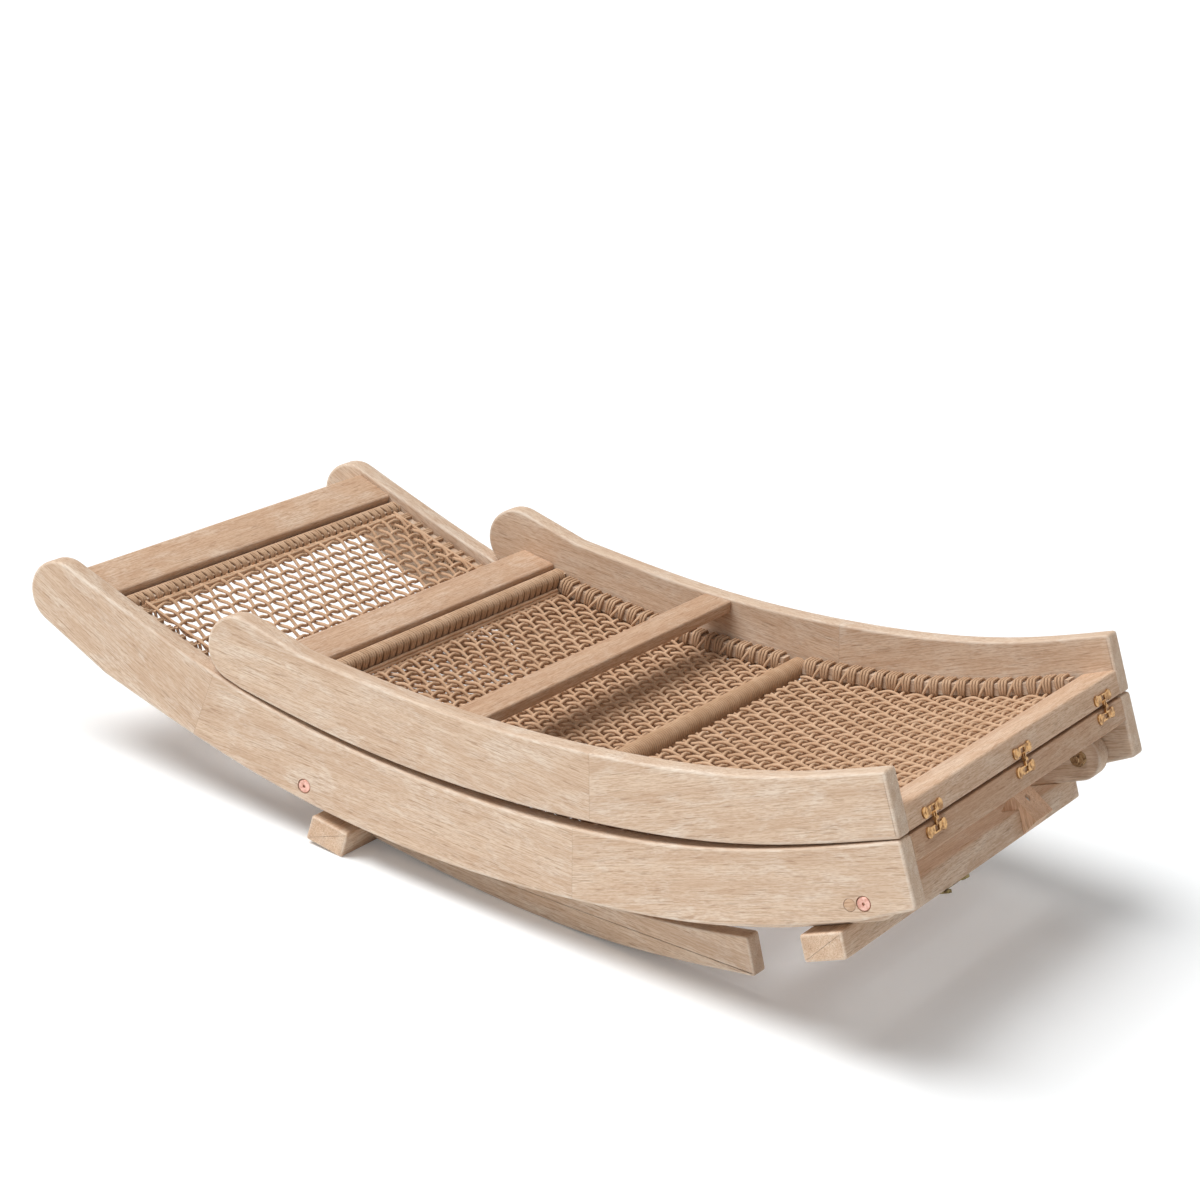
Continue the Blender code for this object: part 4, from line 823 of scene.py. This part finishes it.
def buildBars():
    # every bar is its outline in the side view, stretched from y = start to y = width - start
    along, down = legDirections()
    middle = (np.array(drawing["frontPivot"]) + bars["frontStretcherReach"] * along
              + bars["frontStretcherDrop"] * down)
    wide, tall = bars["stretcher"][0] / 2 * along, bars["stretcher"][1] / 2 * down
    frontStretcher = [middle + wide - tall, middle - wide - tall, middle - wide + tall, middle + wide + tall]
    rearStretcher = section(edgeCurve(rearUnderPoints, 1), bars["rearStretcherX"], bars["rearStretcherInset"],
                            *bars["stretcher"])

    def slat(edge, place):
        # square to the seat's edge at the slat's x, one slat inset inside it
        return section(edge, place[0], bars["slatInset"], place[1], bars["slatThickness"])

    def brace(edge, x):
        # square to the underside's edge at x, just inside it
        width, height, inset = bars["brace"]
        return section(edge, x, inset, width, height)

    # its name, the CAD node it replaces, its body, its tint, where it starts, its outline
    table = [
        # the back end rail and the foot brace take the tint of painted shade
        ("backEndRail", "back_end_rail", "back_half", "paintedShade", bars["inner"],
         railOutline(boards["backSeat"][0], backOut, backDown)),
        ("footEndRail", "foot_end_rail", "foot_half", "bar", bars["inner"],
         railOutline(boards["footSeat"][0], footOut, footUp)),
        ("headSlat", "head_slat", "back_half", "bar", bars["inner"], slat(backSeat, bars["headSlat"])),
        ("footSlat", "foot_slat", "foot_half", "slat", bars["inner"], slat(footSeat, bars["footSlat"])),
        ("backBrace", "back_brace", "back_half", "bar", bars["inner"], brace(backUnder, bars["backBraceX"])),
        ("footBrace", "foot_brace", "foot_half", "paintedShade", bars["inner"],
         brace(footUnder, bars["footBraceX"])),
        ("rearStopBar", "rear_stop_bar", "rear_legs", "stopBar", 0.0, rearStopOutline()),
        ("frontStopBar", "front_stop_bar", "front_legs", "stopBar", 0.0, frontStopOutline()),
        ("rearStretcher", "rear_leg_stretcher", "rear_legs", "bar", bars["rearStretcherY"], rearStretcher),
        ("frontStretcher", "front_leg_stretcher", "front_legs", "bar", bars["frontStretcherY"],
         frontStretcher),
    ]
    for number, (name, node, body, tint, start, outline) in enumerate(table):
        wood = woodMaterial(name + "Wood", grainSeed("bar", number), tint=tint)
        prism = easedPrism(outline, start, drawing["width"] - start, bars["ease"], bars["corner"])
        linkMesh(name, *prism, wood, body, "wood", replaced=(node,))


buildBars()
for number, name in enumerate(("back_slat_rod", "foot_slat_rod", "foot_round_bar")):
    dress(name, woodMaterial(name + "_wood", grainSeed("rod", number)))
print("cross bars built")


# Legs

legs = {
    "thickness": 0.025,
    "frontY": 0.027,
    "rearY": 0.054,
    "rearHeadRadius": 0.023,
    "notchDepth": 0.0195,
    "headTurn": math.radians(29),
    "rearFootTop": (-0.1985, -0.1575),
    "rearTopRadius": 0.950,
    "frontUnderRadius": 0.620,
    "frontDepth": 0.040,
    "rearOpen": math.radians(91.5),
    "frontOpen": math.radians(103.0),
    "rearGrain": math.radians(-1),
    "frontGrain": math.radians(26),
    "ease": 0.0022,
    "corner": 0.0034,
    "rearPoints": 50,
    "frontPoints": 30,
    "headPoints": 26,
    "cutSearch": math.radians(40),
    "cutTries": 4001,
}


def rearLegOutline():
    # lower edge from the foot to the stop bar's notch, round the head, and back along one long arc, whose
    # centre lies sqrt(radius^2 - (chord / 2)^2) from the chord's middle
    pivot = np.array(drawing["rearPivot"])
    bar = rearStopOutline()
    along, down = unit(bar[1] - bar[0]), unit(bar[2] - bar[1])
    fit = drawing["fit"]
    inner, outer = bar[1] + fit * (along - down), bar[0] - fit * (along + down)
    mouth = inner + legs["notchDepth"] * down
    under = edgeCurve(rearUnderPoints + (tuple(mouth),), 1)
    lower = under(np.linspace(rearUnderPoints[0][0], mouth[0], legs["rearPoints"]))
    heel = touchAngle(pivot, legs["rearHeadRadius"], outer, -1)
    brow = math.pi / 2 - legs["headTurn"] - 2 * math.pi
    head = arc(pivot, legs["rearHeadRadius"], heel, brow, legs["headPoints"])
    foot = np.array(legs["rearFootTop"])
    chord = foot - head[-1]
    length = math.hypot(*chord)
    across = np.array([-chord[1], chord[0]]) / length
    radius = legs["rearTopRadius"]
    centre = (head[-1] + foot) / 2 + across * math.sqrt(radius ** 2 - (length / 2) ** 2)
    first, last = (math.atan2(*(p - centre)[::-1]) for p in (head[-1], foot))
    upper = arc(centre, radius, first, last, legs["rearPoints"])[1:]
    return np.concatenate([lower, [inner, outer], head, upper])


def turnFlat(vector, angle):
    # (x cos a - z sin a, x sin a + z cos a)
    return np.array([vector[0] * math.cos(angle) - vector[1] * math.sin(angle),
                     vector[0] * math.sin(angle) + vector[1] * math.cos(angle)])


def frontLegOutline():
    # two arcs about one centre from the head to the foot,
    # whose cut lies on the floor once both pairs are open
    pivot = np.array(drawing["frontPivot"])
    rear = np.array(drawing["rearPivot"])
    along, down = legDirections()
    toe, heel = (rear + turnFlat(np.array(p) - rear, -legs["rearOpen"])
                 for p in (rearUnderPoints[0], legs["rearFootTop"]))
    cutPoint = pivot + turnFlat(toe - pivot, -legs["frontOpen"])
    cutLine = turnFlat(unit(heel - toe), -legs["frontOpen"])
    cutNormal = np.array([-cutLine[1], cutLine[0]])
    cutNormal = cutNormal * np.sign(np.dot(cutPoint - pivot, cutNormal))
    radius, headRadius = legs["frontUnderRadius"], bars["frontHeadRadius"]
    straight = pivot + headRadius * down + (bars["frontStopStart"] + bars["stopWidth"]) * along
    centre = straight - radius * down
    start = math.atan2(down[1], down[0])

    def cutAngle(size):
        # the first of many small steps along the arc that lies past the cut
        points = arc(centre, size, start, start - legs["cutSearch"], legs["cutTries"])
        step = np.argmin((points - cutPoint) @ cutNormal < 0)
        return np.linspace(start, start - legs["cutSearch"], legs["cutTries"])[step]

    upperSize = radius - legs["frontDepth"]
    lower = arc(centre, radius, start, cutAngle(radius), legs["frontPoints"])
    upper = arc(centre, upperSize, cutAngle(upperSize), start, legs["frontPoints"])
    brow = touchAngle(pivot, headRadius, upper[-1], -1) % (2 * math.pi)
    return np.concatenate([lower, upper, arc(pivot, headRadius, brow, start, legs["headPoints"])])


def buildLegs():
    # each pair's outline stretched over the near leg's thickness and over the far one's
    thick = legs["thickness"]
    for name, outline in (("rear", rearLegOutline()), ("front", frontLegOutline())):
        start = legs[name + "Y"]
        for number, (side, low) in enumerate((("near", start), ("far", drawing["width"] - start - thick))):
            title = name + "Leg" + side.capitalize()
            wood = woodMaterial(title + "Wood", grainSeed("leg", number), "x", legs[name + "Grain"])
            prism = easedPrism(outline, low, low + thick, legs["ease"], legs["corner"])
            linkMesh(title, *prism, wood, name + "_legs", "wood", replaced=(name + "_leg_" + side,))


buildLegs()
print("legs built")


# Rope

rope = {
    "radius": 0.0019,
    "pitch": 0.0040,
    "netRadius": 0.0022,
    "crimp": 0.0021,
    "wrapInset": 0.009,
    "sideBarHeight": 0.0150,
    "sideBarDepth": 0.0170,
    "cover": 0.0043,
    "skinGap": 0.0002,
    "rodWidth": 0.0120,
    "rodHeight": 0.0170,
    "rodGap": 0.0025,
    "rodReach": 0.0046,
    "rodPitch": 0.0047,
    "netInset": 0.0108,
    "netEdge": 0.0548,
    "netGap": 0.0008,
    "endShare": 0.9,  # least room at a span's two ends together, in pitches
    "roundBarX": -0.412,
    "roundBarInset": 0.0150,
    "roundBarRadius": 0.0130,
    "stepStart": 0.34,  # the part of a turn that is hidden under its bar, where it steps on to the next
    "stepShare": 0.32,
    "smoothAngle": 80,
}
# each net: distance between cords that cross it, and between cords that run along it
netPitch = {"back": (0.0154, 0.0171), "footToe": (0.0154, 0.0155), "footKnee": (0.0182, 0.0155)}
ropeFinishes = {name: ropeMaterial(name, seed, tint) for name, seed, tint in
                (("netRope", 0.0, (0.96, 0.88, 0.82)), ("wrapRope", 1.7, (0.97, 0.91, 0.86)),
                 ("windingRope", 3.9, (0.91, 0.82, 0.74)))}
wrapSkin = rope["cover"] - rope["radius"] - rope["skinGap"]  # from a bar's face to the middle of its cord
xAxis, yAxis = np.array([1.0, 0.0, 0.0]), np.array([0.0, 1.0, 0.0])


def roundedBox(angle, halfWide, halfTall, power):
    # superellipse: r(a) keeps |x / w|^p + |y / h|^p = 1
    c, s = np.cos(angle), np.sin(angle)
    size = ((np.abs(c) / halfWide) ** power + (np.abs(s) / halfTall) ** power) ** (-1 / power)
    return size * c, size * s


def surfacePoints(edge, x, y, inset):
    # a point under an edge curve: x along the board, y across, inset below the sitting line
    flat = edge(x, inset)
    return np.stack([flat[..., 0], y, flat[..., 1]], -1)


def mirrored(y, farSide):
    # y on the near side, width - y on the far one
    return drawing["width"] - y if farSide else y


def crossingPlaces(start, end, pitch):
    # cords a pitch apart, as many as fit between start and end, with the same room left at both ends
    count = int((end - start - pitch * rope["endShare"]) / pitch)
    return start + (end - start - count * pitch) / 2 + pitch * np.arange(count + 1)


def stepped(values, turns):
    # one value for each turn, moved on to the next turn's by
    # t^2 (3 - 2 t) while the cord is hidden under its bar
    first = np.minimum(turns.astype(int), len(values) - 2)
    part = np.clip((turns - first - rope["stepStart"]) / rope["stepShare"], 0, 1)
    blend = part * part * (3 - 2 * part)
    return values[first] * (1 - blend) + values[first + 1] * blend


sideTurns = {
    "bundleGap": 0.0022,
    "leastTurns": 2,
    "pointsPerTurn": 14,
    "boxPower": 7.0,
    "pinch": 0.36,
    "pinchEnd": 0.25,
    "pinchSlope": 0.9,
    # how much painted shade lies between the turns
    "creaseShade": 0.5,
}


def sideWrap(edge, start, end, pitch, farSide):
    # turns of cord round the side bar, one bundle to each crossing cord; x steps on at the hidden side of
    # each turn, and the turns of a bundle draw together on top, where the net pulls on them
    inset = rope["wrapInset"] + rope["cover"] + rope["sideBarHeight"] / 2
    middle = bars["inner"] + rope["cover"] + rope["sideBarDepth"] / 2
    halfWide, halfTall = rope["sideBarDepth"] / 2 + wrapSkin, rope["sideBarHeight"] / 2 + wrapSkin
    places = crossingPlaces(start, end, pitch)
    borders = np.concatenate([[start], (places[1:] + places[:-1]) / 2, [end]])
    low, high = borders[:-1], borders[1:]
    gap = sideTurns["bundleGap"]
    room = high - low - gap - gap * (np.arange(len(low)) % 2)
    counts = np.maximum(sideTurns["leastTurns"], (room / rope["pitch"]).astype(int))
    bundle = np.repeat(np.arange(len(low)), counts)
    within = np.arange(len(bundle)) - np.repeat(np.cumsum(counts) - counts, counts)
    offset = (within - (counts[bundle] - 1) / 2) * rope["pitch"]
    centre = (low + high)[bundle] / 2 + gap / 2 * (bundle % 2)
    first, last = start + rope["radius"], end - rope["radius"]
    place = np.clip(centre + offset, first, last)
    perTurn = sideTurns["pointsPerTurn"]
    turns = np.arange((len(place) - 1) * perTurn + 1) / perTurn
    across, deep = roundedBox(2 * math.pi * turns, halfWide, halfTall, sideTurns["boxPower"])
    onTop = np.clip(sideTurns["pinchEnd"] - sideTurns["pinchSlope"] * deep / halfTall, 0, 1)
    x = stepped(place, turns) - sideTurns["pinch"] * stepped(offset, turns) * onTop
    y = mirrored(middle + across, farSide)
    paths = surfacePoints(edge, np.clip(x, first, last), y, inset + deep)
    tangent = stepAlong(edge, x)
    reference = unit(np.stack([tangent[:, 0], 0 * x, tangent[:, 1]], -1))
    return cordMesh(paths[None], reference[None], rope["radius"], creaseShade=sideTurns["creaseShade"])


ties = {
    "endRoom": 0.012,
    "points": 9,
    "xStart": -0.0042,
    "xReach": 0.0095,
    "yStart": 0.0500,
    "yBulge": 0.0030,
    "bulgeRate": 1.1,
    "yFall": 0.0022,
    "insetStart": -0.0015,
    "insetReach": 0.0190,
    "reference": (0.0, 1.0, 0.001),
}


def tieCords(edge, start, end, pitch, farSide):
    # where a crossing cord meets the side wrap it climbs the wrap's face, every second one at a slant:
    # x = border + start + reach t, y = start + bulge sin(pi rate t) - fall t, inset = start + reach t
    places = crossingPlaces(start, end, pitch)
    borders = ((places[1:] + places[:-1]) / 2)[::2]
    borders = borders[borders < end - ties["endRoom"]]
    t = np.linspace(0, 1, ties["points"])[None, :]
    x = borders[:, None] + ties["xStart"] + ties["xReach"] * t
    bulge = ties["yBulge"] * np.sin(math.pi * np.clip(t * ties["bulgeRate"], 0, 1))
    y = ties["yStart"] + bulge - ties["yFall"] * t + 0 * x
    inset = rope["netInset"] + ties["insetStart"] + ties["insetReach"] * t + 0 * x
    paths = surfacePoints(edge, x, mirrored(y, farSide), inset)
    return cordMesh(paths, np.array(ties["reference"]), rope["radius"])


rodTurns = {
    "pointsPerTurn": 16,
    "boxPower": 4.0,
    "wander": 0.0006,
    "waves": (2.4, 0.7, 3, 0.5, 5.1),
    "wanderPhase": 0.8,
    "pinch": 0.40,
    "netSide": (0.8, 0.6),  # toward the corner that faces the net
    "pinchStart": 0.1,
    "group": 3,
    # how much painted shade lies between the turns
    "creaseShade": 0.45,
}


def rodWrap(corners):
    # turns of cord round a rod that runs along y; y steps on where the turn is hidden, under the rod,
    # wanders a little, and draws together in threes at the corner that faces the net
    centre = corners.mean(0)
    along, inward = unit(corners[1] - corners[0]), unit(corners[3] - corners[0])
    halfWide = np.linalg.norm(corners[1] - corners[0]) / 2 + wrapSkin
    halfTall = np.linalg.norm(corners[3] - corners[0]) / 2 + wrapSkin
    low, high = bars["inner"] + rope["radius"], drawing["width"] - bars["inner"] - rope["radius"]
    count = int((high - low) / rope["rodPitch"])
    number = np.arange(count + 1)
    place = low + (high - low) * number / count
    slow, slower, depth, share, quick = rodTurns["waves"]
    wave = np.sin(number * slow + np.sin(number * slower) * depth) + share * np.sin(number * quick)
    stray = rodTurns["wander"] * wave
    perTurn = rodTurns["pointsPerTurn"]
    turns = np.arange(count * perTurn + 1) / perTurn
    across, deep = roundedBox(2 * math.pi * turns, halfWide, halfTall, rodTurns["boxPower"])
    shift = stepped(stray, turns) * np.cos(2 * math.pi * turns + rodTurns["wanderPhase"])
    y = np.clip(stepped(place, turns) + shift, low, high)
    lean = (number % rodTurns["group"] - 1) * rope["rodPitch"]
    wideShare, tallShare = rodTurns["netSide"]
    pull = wideShare * across / halfWide - tallShare * deep / halfTall - rodTurns["pinchStart"]
    facing = np.clip(pull / (1 - rodTurns["pinchStart"]), 0, 1)
    y = np.clip(y - rodTurns["pinch"] * facing * stepped(lean, turns), low, high)
    flat = centre + across[:, None] * along + deep[:, None] * inward
    paths = np.stack([flat[:, 0], y, flat[:, 1]], -1)
    return cordMesh(paths[None], yAxis, rope["radius"], creaseShade=rodTurns["creaseShade"])


def rodCorners(edge, slat):
    # the rod beside a slat: its x is the slat's plus half the slat, the gap, the wrap's cover and half
    # the rod; with its corners goes the x where the net ends
    x, width = slat
    along = unit(stepAlong(edge, x))
    rodX = x + (width / 2 + rope["rodGap"] + rope["cover"] + rope["rodWidth"] / 2) * along[0]
    inset = rope["wrapInset"] + rope["cover"]
    rodAlong = unit(stepAlong(edge, rodX))
    end = rodX + (rope["rodWidth"] / 2 + rope["rodReach"]) * rodAlong[0] + rope["netGap"]
    return section(edge, rodX, inset, rope["rodWidth"], rope["rodHeight"]), end


weave = {
    "pointsPerCrossing": 6,
    "sway": (0.0007, 0.0004),
    "alongWaves": (61, 1.9, 143, 3.7),
    "acrossWaves": (57, 2.3, 131, 4.1),
    "overhang": 0.0030,
    "edgePoints": 60,
    "edgeAside": 0.0022,
    "edgeInset": -0.0028,
    "besidePoints": 90,
    "besideX": (0.0008, 0.0050, -0.0011),
    "besideInset": (0.0020, -0.0008, 0.0054),
    "besideSway": (0.0003, 190),
}


def swaying(at, number, waves):
    # two sine waves along a cord, begun at another place for each cord
    slow, slowStep, quick, quickStep = waves
    wide, narrow = weave["sway"]
    return wide * np.sin(at * slow + number * slowStep) + narrow * np.sin(at * quick + number * quickStep)


def netCords(edge, start, end, pitches, besideRod):
    # plain weave: height of an x cord at a crossing is
    # crimp cos(pi (row + column)), of a y cord the opposite
    rowPitch, columnPitch = pitches
    inset, radius = rope["netInset"], rope["netRadius"]
    first, last = rope["netEdge"], drawing["width"] - rope["netEdge"]
    columns = int(round((last - first) / columnPitch))
    gap = (last - first) / columns
    rowPlaces = crossingPlaces(start, end, rowPitch)
    steps = weave["pointsPerCrossing"]
    low, high = start + rope["radius"], end - rope["radius"]
    x = np.linspace(low, high, int((high - low) / rowPitch * steps))[None]
    column = np.arange(columns + 1)[:, None]
    height = rope["crimp"] * np.cos(math.pi * ((x - rowPlaces[0]) / rowPitch + column))
    y = first + gap * column + swaying(x, column, weave["alongWaves"])
    straight = cordMesh(surfacePoints(edge, x + 0 * y, y, inset - height), yAxis, radius)
    overhang = weave["overhang"]
    y = np.linspace(first - overhang, last + overhang, columns * steps + 1)[None]
    row = np.arange(len(rowPlaces))[:, None]
    height = -rope["crimp"] * np.cos(math.pi * ((y - first) / gap + row))
    x = rowPlaces[:, None] + swaying(y, row, weave["acrossWaves"])
    across = cordMesh(surfacePoints(edge, x, y + 0 * x, inset - height), xAxis, radius)
    # one straight cord along each side wrap and three beside the slat's rod close the net's edges
    x = np.linspace(low, high, weave["edgePoints"])[None] + np.zeros((2, 1))
    y = np.array([[first - weave["edgeAside"]], [last + weave["edgeAside"]]]) + 0 * x
    edges = cordMesh(surfacePoints(edge, x, y, inset + weave["edgeInset"] + 0 * x), yAxis, rope["radius"])
    aside, depth = np.array(weave["besideX"])[:, None], np.array(weave["besideInset"])[:, None]
    y = np.linspace(first - overhang, last + overhang, weave["besidePoints"])[None] + np.zeros(aside.shape)
    size, rate = weave["besideSway"]
    x = low + aside + size * np.sin(y * rate)
    beside = cordMesh(surfacePoints(edge, x, y, inset + depth + 0 * x), xAxis, radius)
    return joined(straight, edges), joined(across, beside) if besideRod else across


def buildRope():
    # each rod has its wrap; each span of a net has a wrap at either side and its cords between them
    wrap, woven, smooth = ropeFinishes["wrapRope"], ropeFinishes["netRope"], rope["smoothAngle"]
    clear = rope["roundBarRadius"] + drawing["fit"]
    headRod, headEnd = rodCorners(backSeat, bars["headSlat"])
    footRod, footEnd = rodCorners(footSeat, bars["footSlat"])
    backRail = railOutline(boards["backSeat"][0], backOut, backDown)
    footRail = railOutline(boards["footSeat"][0], footOut, footUp)
    backStop, footStop = backRail[0][0] - rope["netGap"], footRail[3][0] - rope["netGap"]
    for name, corners in (("back", headRod), ("foot", footRod)):
        linkMesh(name + "RodWrap", *rodWrap(corners), wrap, name + "_half", "rope", smooth,
                 (name + "_slat_rod_wrap",))
    # a span's name, its edge, where it begins and ends, its body, the CAD's side wraps, the CAD's net
    spans = (("back", backSeat, headEnd, backStop, "back_half", "back_side_wrap_", "back_net"),
             ("footToe", footSeat, footEnd, rope["roundBarX"] - clear, "foot_half", "foot_side_toe_wrap_",
              "foot_net_toe"),
             ("footKnee", footSeat, rope["roundBarX"] + clear, footStop, "foot_half", "foot_side_knee_wrap_",
              "foot_net_knee"))
    for name, edge, start, end, body, node, net in spans:
        for side, isFar in (("near", False), ("far", True)):
            shape = joined(sideWrap(edge, start, end, netPitch[name][0], isFar),
                           tieCords(edge, start, end, netPitch[name][0], isFar))
            linkMesh(name + "Wrap" + side.capitalize(), *shape, wrap, body, "rope", smooth, (node + side,))
        along, across = netCords(edge, start, end, netPitch[name], name != "footKnee")
        linkMesh(name + "NetAlong", *along, woven, body, "rope", smooth, (net,))
        linkMesh(name + "NetAcross", *across, woven, body, "rope", smooth)


winding = {
    "inset": 0.0021,
    "endRoom": 0.0023,
    "pitch": 0.0042,
    "pointsPerTurn": 18,
    "cordRadius": 0.0020,
    "cordSides": 8,
    # how much painted shade lies between the turns
    "creaseShade": 0.65,
}


def buildRoundBar():
    # the winding: y moves one pitch a turn on a circle, close enough that neighbouring turns touch
    centre = footSeat(rope["roundBarX"], rope["roundBarInset"])
    radius = rope["roundBarRadius"] - winding["inset"]
    low, high = bars["inner"] + winding["endRoom"], drawing["width"] - bars["inner"] - winding["endRoom"]
    count = int((high - low) / winding["pitch"])
    turns = np.arange(count * winding["pointsPerTurn"] + 1) / winding["pointsPerTurn"]
    angle = 2 * math.pi * turns
    paths = np.stack([centre[0] + radius * np.cos(angle), low + (high - low) * turns / count,
                      centre[1] + radius * np.sin(angle)], -1)
    shape = cordMesh(paths[None], yAxis, winding["cordRadius"], winding["cordSides"], winding["creaseShade"])
    linkMesh("roundBarWinding", *shape, ropeFinishes["windingRope"], "foot_half", "rope", rope["smoothAngle"],
             ("foot_round_bar_winding",))


buildRope()
buildRoundBar()
print("rope built")


# Bolts, plugs and the small fittings

def sunk(profile, depth):
    # the profile with its depths counted from the given depth
    return [(radius, depth + place) for radius, place in profile]


def buildBolts():
    # head, washer, hexagon, tip and plug are profiles turned round the pivots and the plug's middle
    smooth = bolts["smoothAngle"]
    for name in ("rear", "front"):
        place = drawing[name + "Pivot"]
        nut = legs[name + "Y"] + legs["thickness"] + drawing["fit"]
        for side, isFar in (("near", False), ("far", True)):
            title = side.capitalize()
            shaft = lathe([*bolts["head"], (bolts["shaftRadius"], nut + bolts["shaftPast"])], place, isFar)
            washer = lathe(sunk(bolts["washer"], nut), place, isFar)
            hexagon = lathe(sunk(bolts["nut"], nut), place, isFar, bolts["nutSides"])
            tip = lathe(sunk(bolts["tip"], nut), place, isFar)
            linkMesh(name + "Bolt" + title, *shaft, copperFinish, "back_half", "copper", smooth,
                     (name + "_pivot_bolt_" + side,))
            linkMesh(name + "Nut" + title, *joined(washer, hexagon, tip), nutFinish, "back_half", "copper",
                     smooth)
    for side, isFar in (("near", False), ("far", True)):
        title = "plug" + side.capitalize()
        wood = woodMaterial(title + "Wood", grainSeed("plug", isFar), "x", bolts["plugGrain"], tint="plug")
        plug = lathe(bolts["plugProfile"], bolts["plug"], isFar)
        linkMesh(title, *plug, wood, "back_half", "wood", smooth, ("board_plug_" + side,))


buildBolts()
for name in nodes:
    if name.startswith("hinge_leaf"):
        dress(name, brassFinish)
    if name in ("hook", "hook_screw"):
        dress(name, darkBrass)
    if name.startswith("rear_pivot_spacer") or name == "stop_block_screw":
        dress(name, steelFinish)
stopBlockGrain = -1.1
# the block's wood is tinted lighter, painted light for a block that sits in shadow
blockWood = woodMaterial("stopBlockWood", grainSeed("stopBlock", 0), "x", stopBlockGrain, tint="stopBlock")
dress("stop_block", blockWood)
for name in nodes:
    if "_bar_near" in name or "_bar_far" in name:
        dress(name, woodMaterial(name + "_wood", grainSeed("sideBar", len(name)), "x"))
print("fittings built")


# Floor, light and camera

studio = {
    "floorSize": 30.0,
    "floorColour": (0.920, 0.940, 0.950),
    "floorRoughness": 0.9,
    "floorGlow": 0.10,
    "worldStrength": 0.33,
    "target": (0.0, 0.0, 0.12),
    "keyStrength": 2.75,
    "keyDirection": (-0.60, -0.50, 1.32),
    "keyDistance": 3.0,
    "keyAngle": math.radians(36),
    "fillPower": 17.0,
    "fillPlace": (-1.0, -3.4, 1.1),
    "fillSize": 2.6,
}


def buildStage():
    # a square floor that glows a little where the camera or a reflection sees it, and a white world that is
    # 1 where it is seen and its own strength where it only gives light
    size = studio["floorSize"] / 2
    mesh = bpy.data.meshes.new("floor")
    corners = [(-size, -size, 0), (size, -size, 0), (size, size, 0), (-size, size, 0)]
    mesh.from_pydata(corners, [], [(0, 1, 2, 3)])
    floor = bpy.data.objects.new("floor", mesh)
    bpy.context.scene.collection.objects.link(floor)
    material, tree, shader = newMaterial("paleFloor")
    shader.inputs["Base Color"].default_value = (*studio["floorColour"], 1.0)
    shader.inputs["Roughness"].default_value = studio["floorRoughness"]
    shader.inputs["Specular IOR Level"].default_value = 0.0
    path = tree.nodes.new("ShaderNodeLightPath")
    seen = math2(tree, "MAXIMUM", path.outputs["Is Camera Ray"], path.outputs["Is Glossy Ray"])
    glow = math2(tree, "MULTIPLY", seen, studio["floorGlow"])
    shader.inputs["Emission Color"].default_value = (1.0, 1.0, 1.0, 1.0)
    tree.links.new(glow, shader.inputs["Emission Strength"])
    mesh.materials.append(material)
    world = bpy.data.worlds.new("studio")
    bpy.context.scene.world = world
    world.use_nodes = True
    tree = world.node_tree
    background = tree.nodes["Background"]
    path = tree.nodes.new("ShaderNodeLightPath")
    seen = math2(tree, "MAXIMUM", path.outputs["Is Camera Ray"],
                 math2(tree, "MAXIMUM", path.outputs["Is Glossy Ray"], path.outputs["Is Transmission Ray"]))
    strength = math2(tree, "MULTIPLY_ADD", seen, 1.0 - studio["worldStrength"], studio["worldStrength"])
    background.inputs["Color"].default_value = (1.0, 1.0, 1.0, 1.0)
    tree.links.new(strength, background.inputs["Strength"])


def aimed(place, back):
    # matrix whose z axis is back and whose place is given
    right = unit(np.cross([0, 0, 1], back))
    axes = np.stack([right, np.cross(back, right), back], 1)
    return Matrix([[*row, spot] for row, spot in zip(axes.tolist(), place)] + [[0, 0, 0, 1]])


def buildLights():
    # a wide sun high on the left and a little in front, and a large soft panel in front
    key = bpy.data.lights.new("keyLight", "SUN")
    key.energy, key.angle = studio["keyStrength"], studio["keyAngle"]
    fill = bpy.data.lights.new("fillLight", "AREA")
    fill.energy, fill.size = studio["fillPower"], studio["fillSize"]
    target = np.array(studio["target"])
    direction = unit(np.array(studio["keyDirection"]))
    for data, place, back in ((key, target + studio["keyDistance"] * direction, direction),
                              (fill, studio["fillPlace"], unit(np.array(studio["fillPlace"]) - target))):
        light = bpy.data.objects.new(data.name, data)
        bpy.context.scene.collection.objects.link(light)
        light.matrix_world = aimed(place, back)


# The photograph's camera, solved in the drawing frame
photoCamera = {
    "place": (1.3574, -2.9446, 1.0987),
    "pitch": math.radians(14.7555),
    "yaw": math.radians(30.0604),
    "lens": 102.0,
    "sensor": 36.0,
    "farthest": 60.0,
}


def buildCamera():
    # right = (cos yaw, sin yaw, 0), up = (-sin yaw sin pitch, cos yaw sin pitch, cos pitch),
    # back = right x up, each turned to the row frame
    pitch, yaw = photoCamera["pitch"], photoCamera["yaw"]
    right = np.array([math.cos(yaw), math.sin(yaw), 0.0])
    up = np.array([-math.sin(yaw) * math.sin(pitch), math.cos(yaw) * math.sin(pitch), math.cos(pitch)])
    place = toRow(photoCamera["place"])
    origin = toRow((0, 0, 0))
    axes = np.stack([toRow(v) - origin for v in (right, up, np.cross(right, up))], 1)
    data = bpy.data.cameras.new("photoCamera")
    data.lens, data.sensor_width, data.clip_end = (photoCamera[key] for key in ("lens", "sensor", "farthest"))
    camera = bpy.data.objects.new("photoCamera", data)
    bpy.context.scene.collection.objects.link(camera)
    camera.matrix_world = Matrix([[*row, spot] for row, spot in zip(axes, place)] + [[0, 0, 0, 1]])
    bpy.context.scene.camera = camera


buildStage()
buildLights()
buildCamera()
bpy.context.scene.view_settings.view_transform = "Standard"
print("stage, lights and camera set")
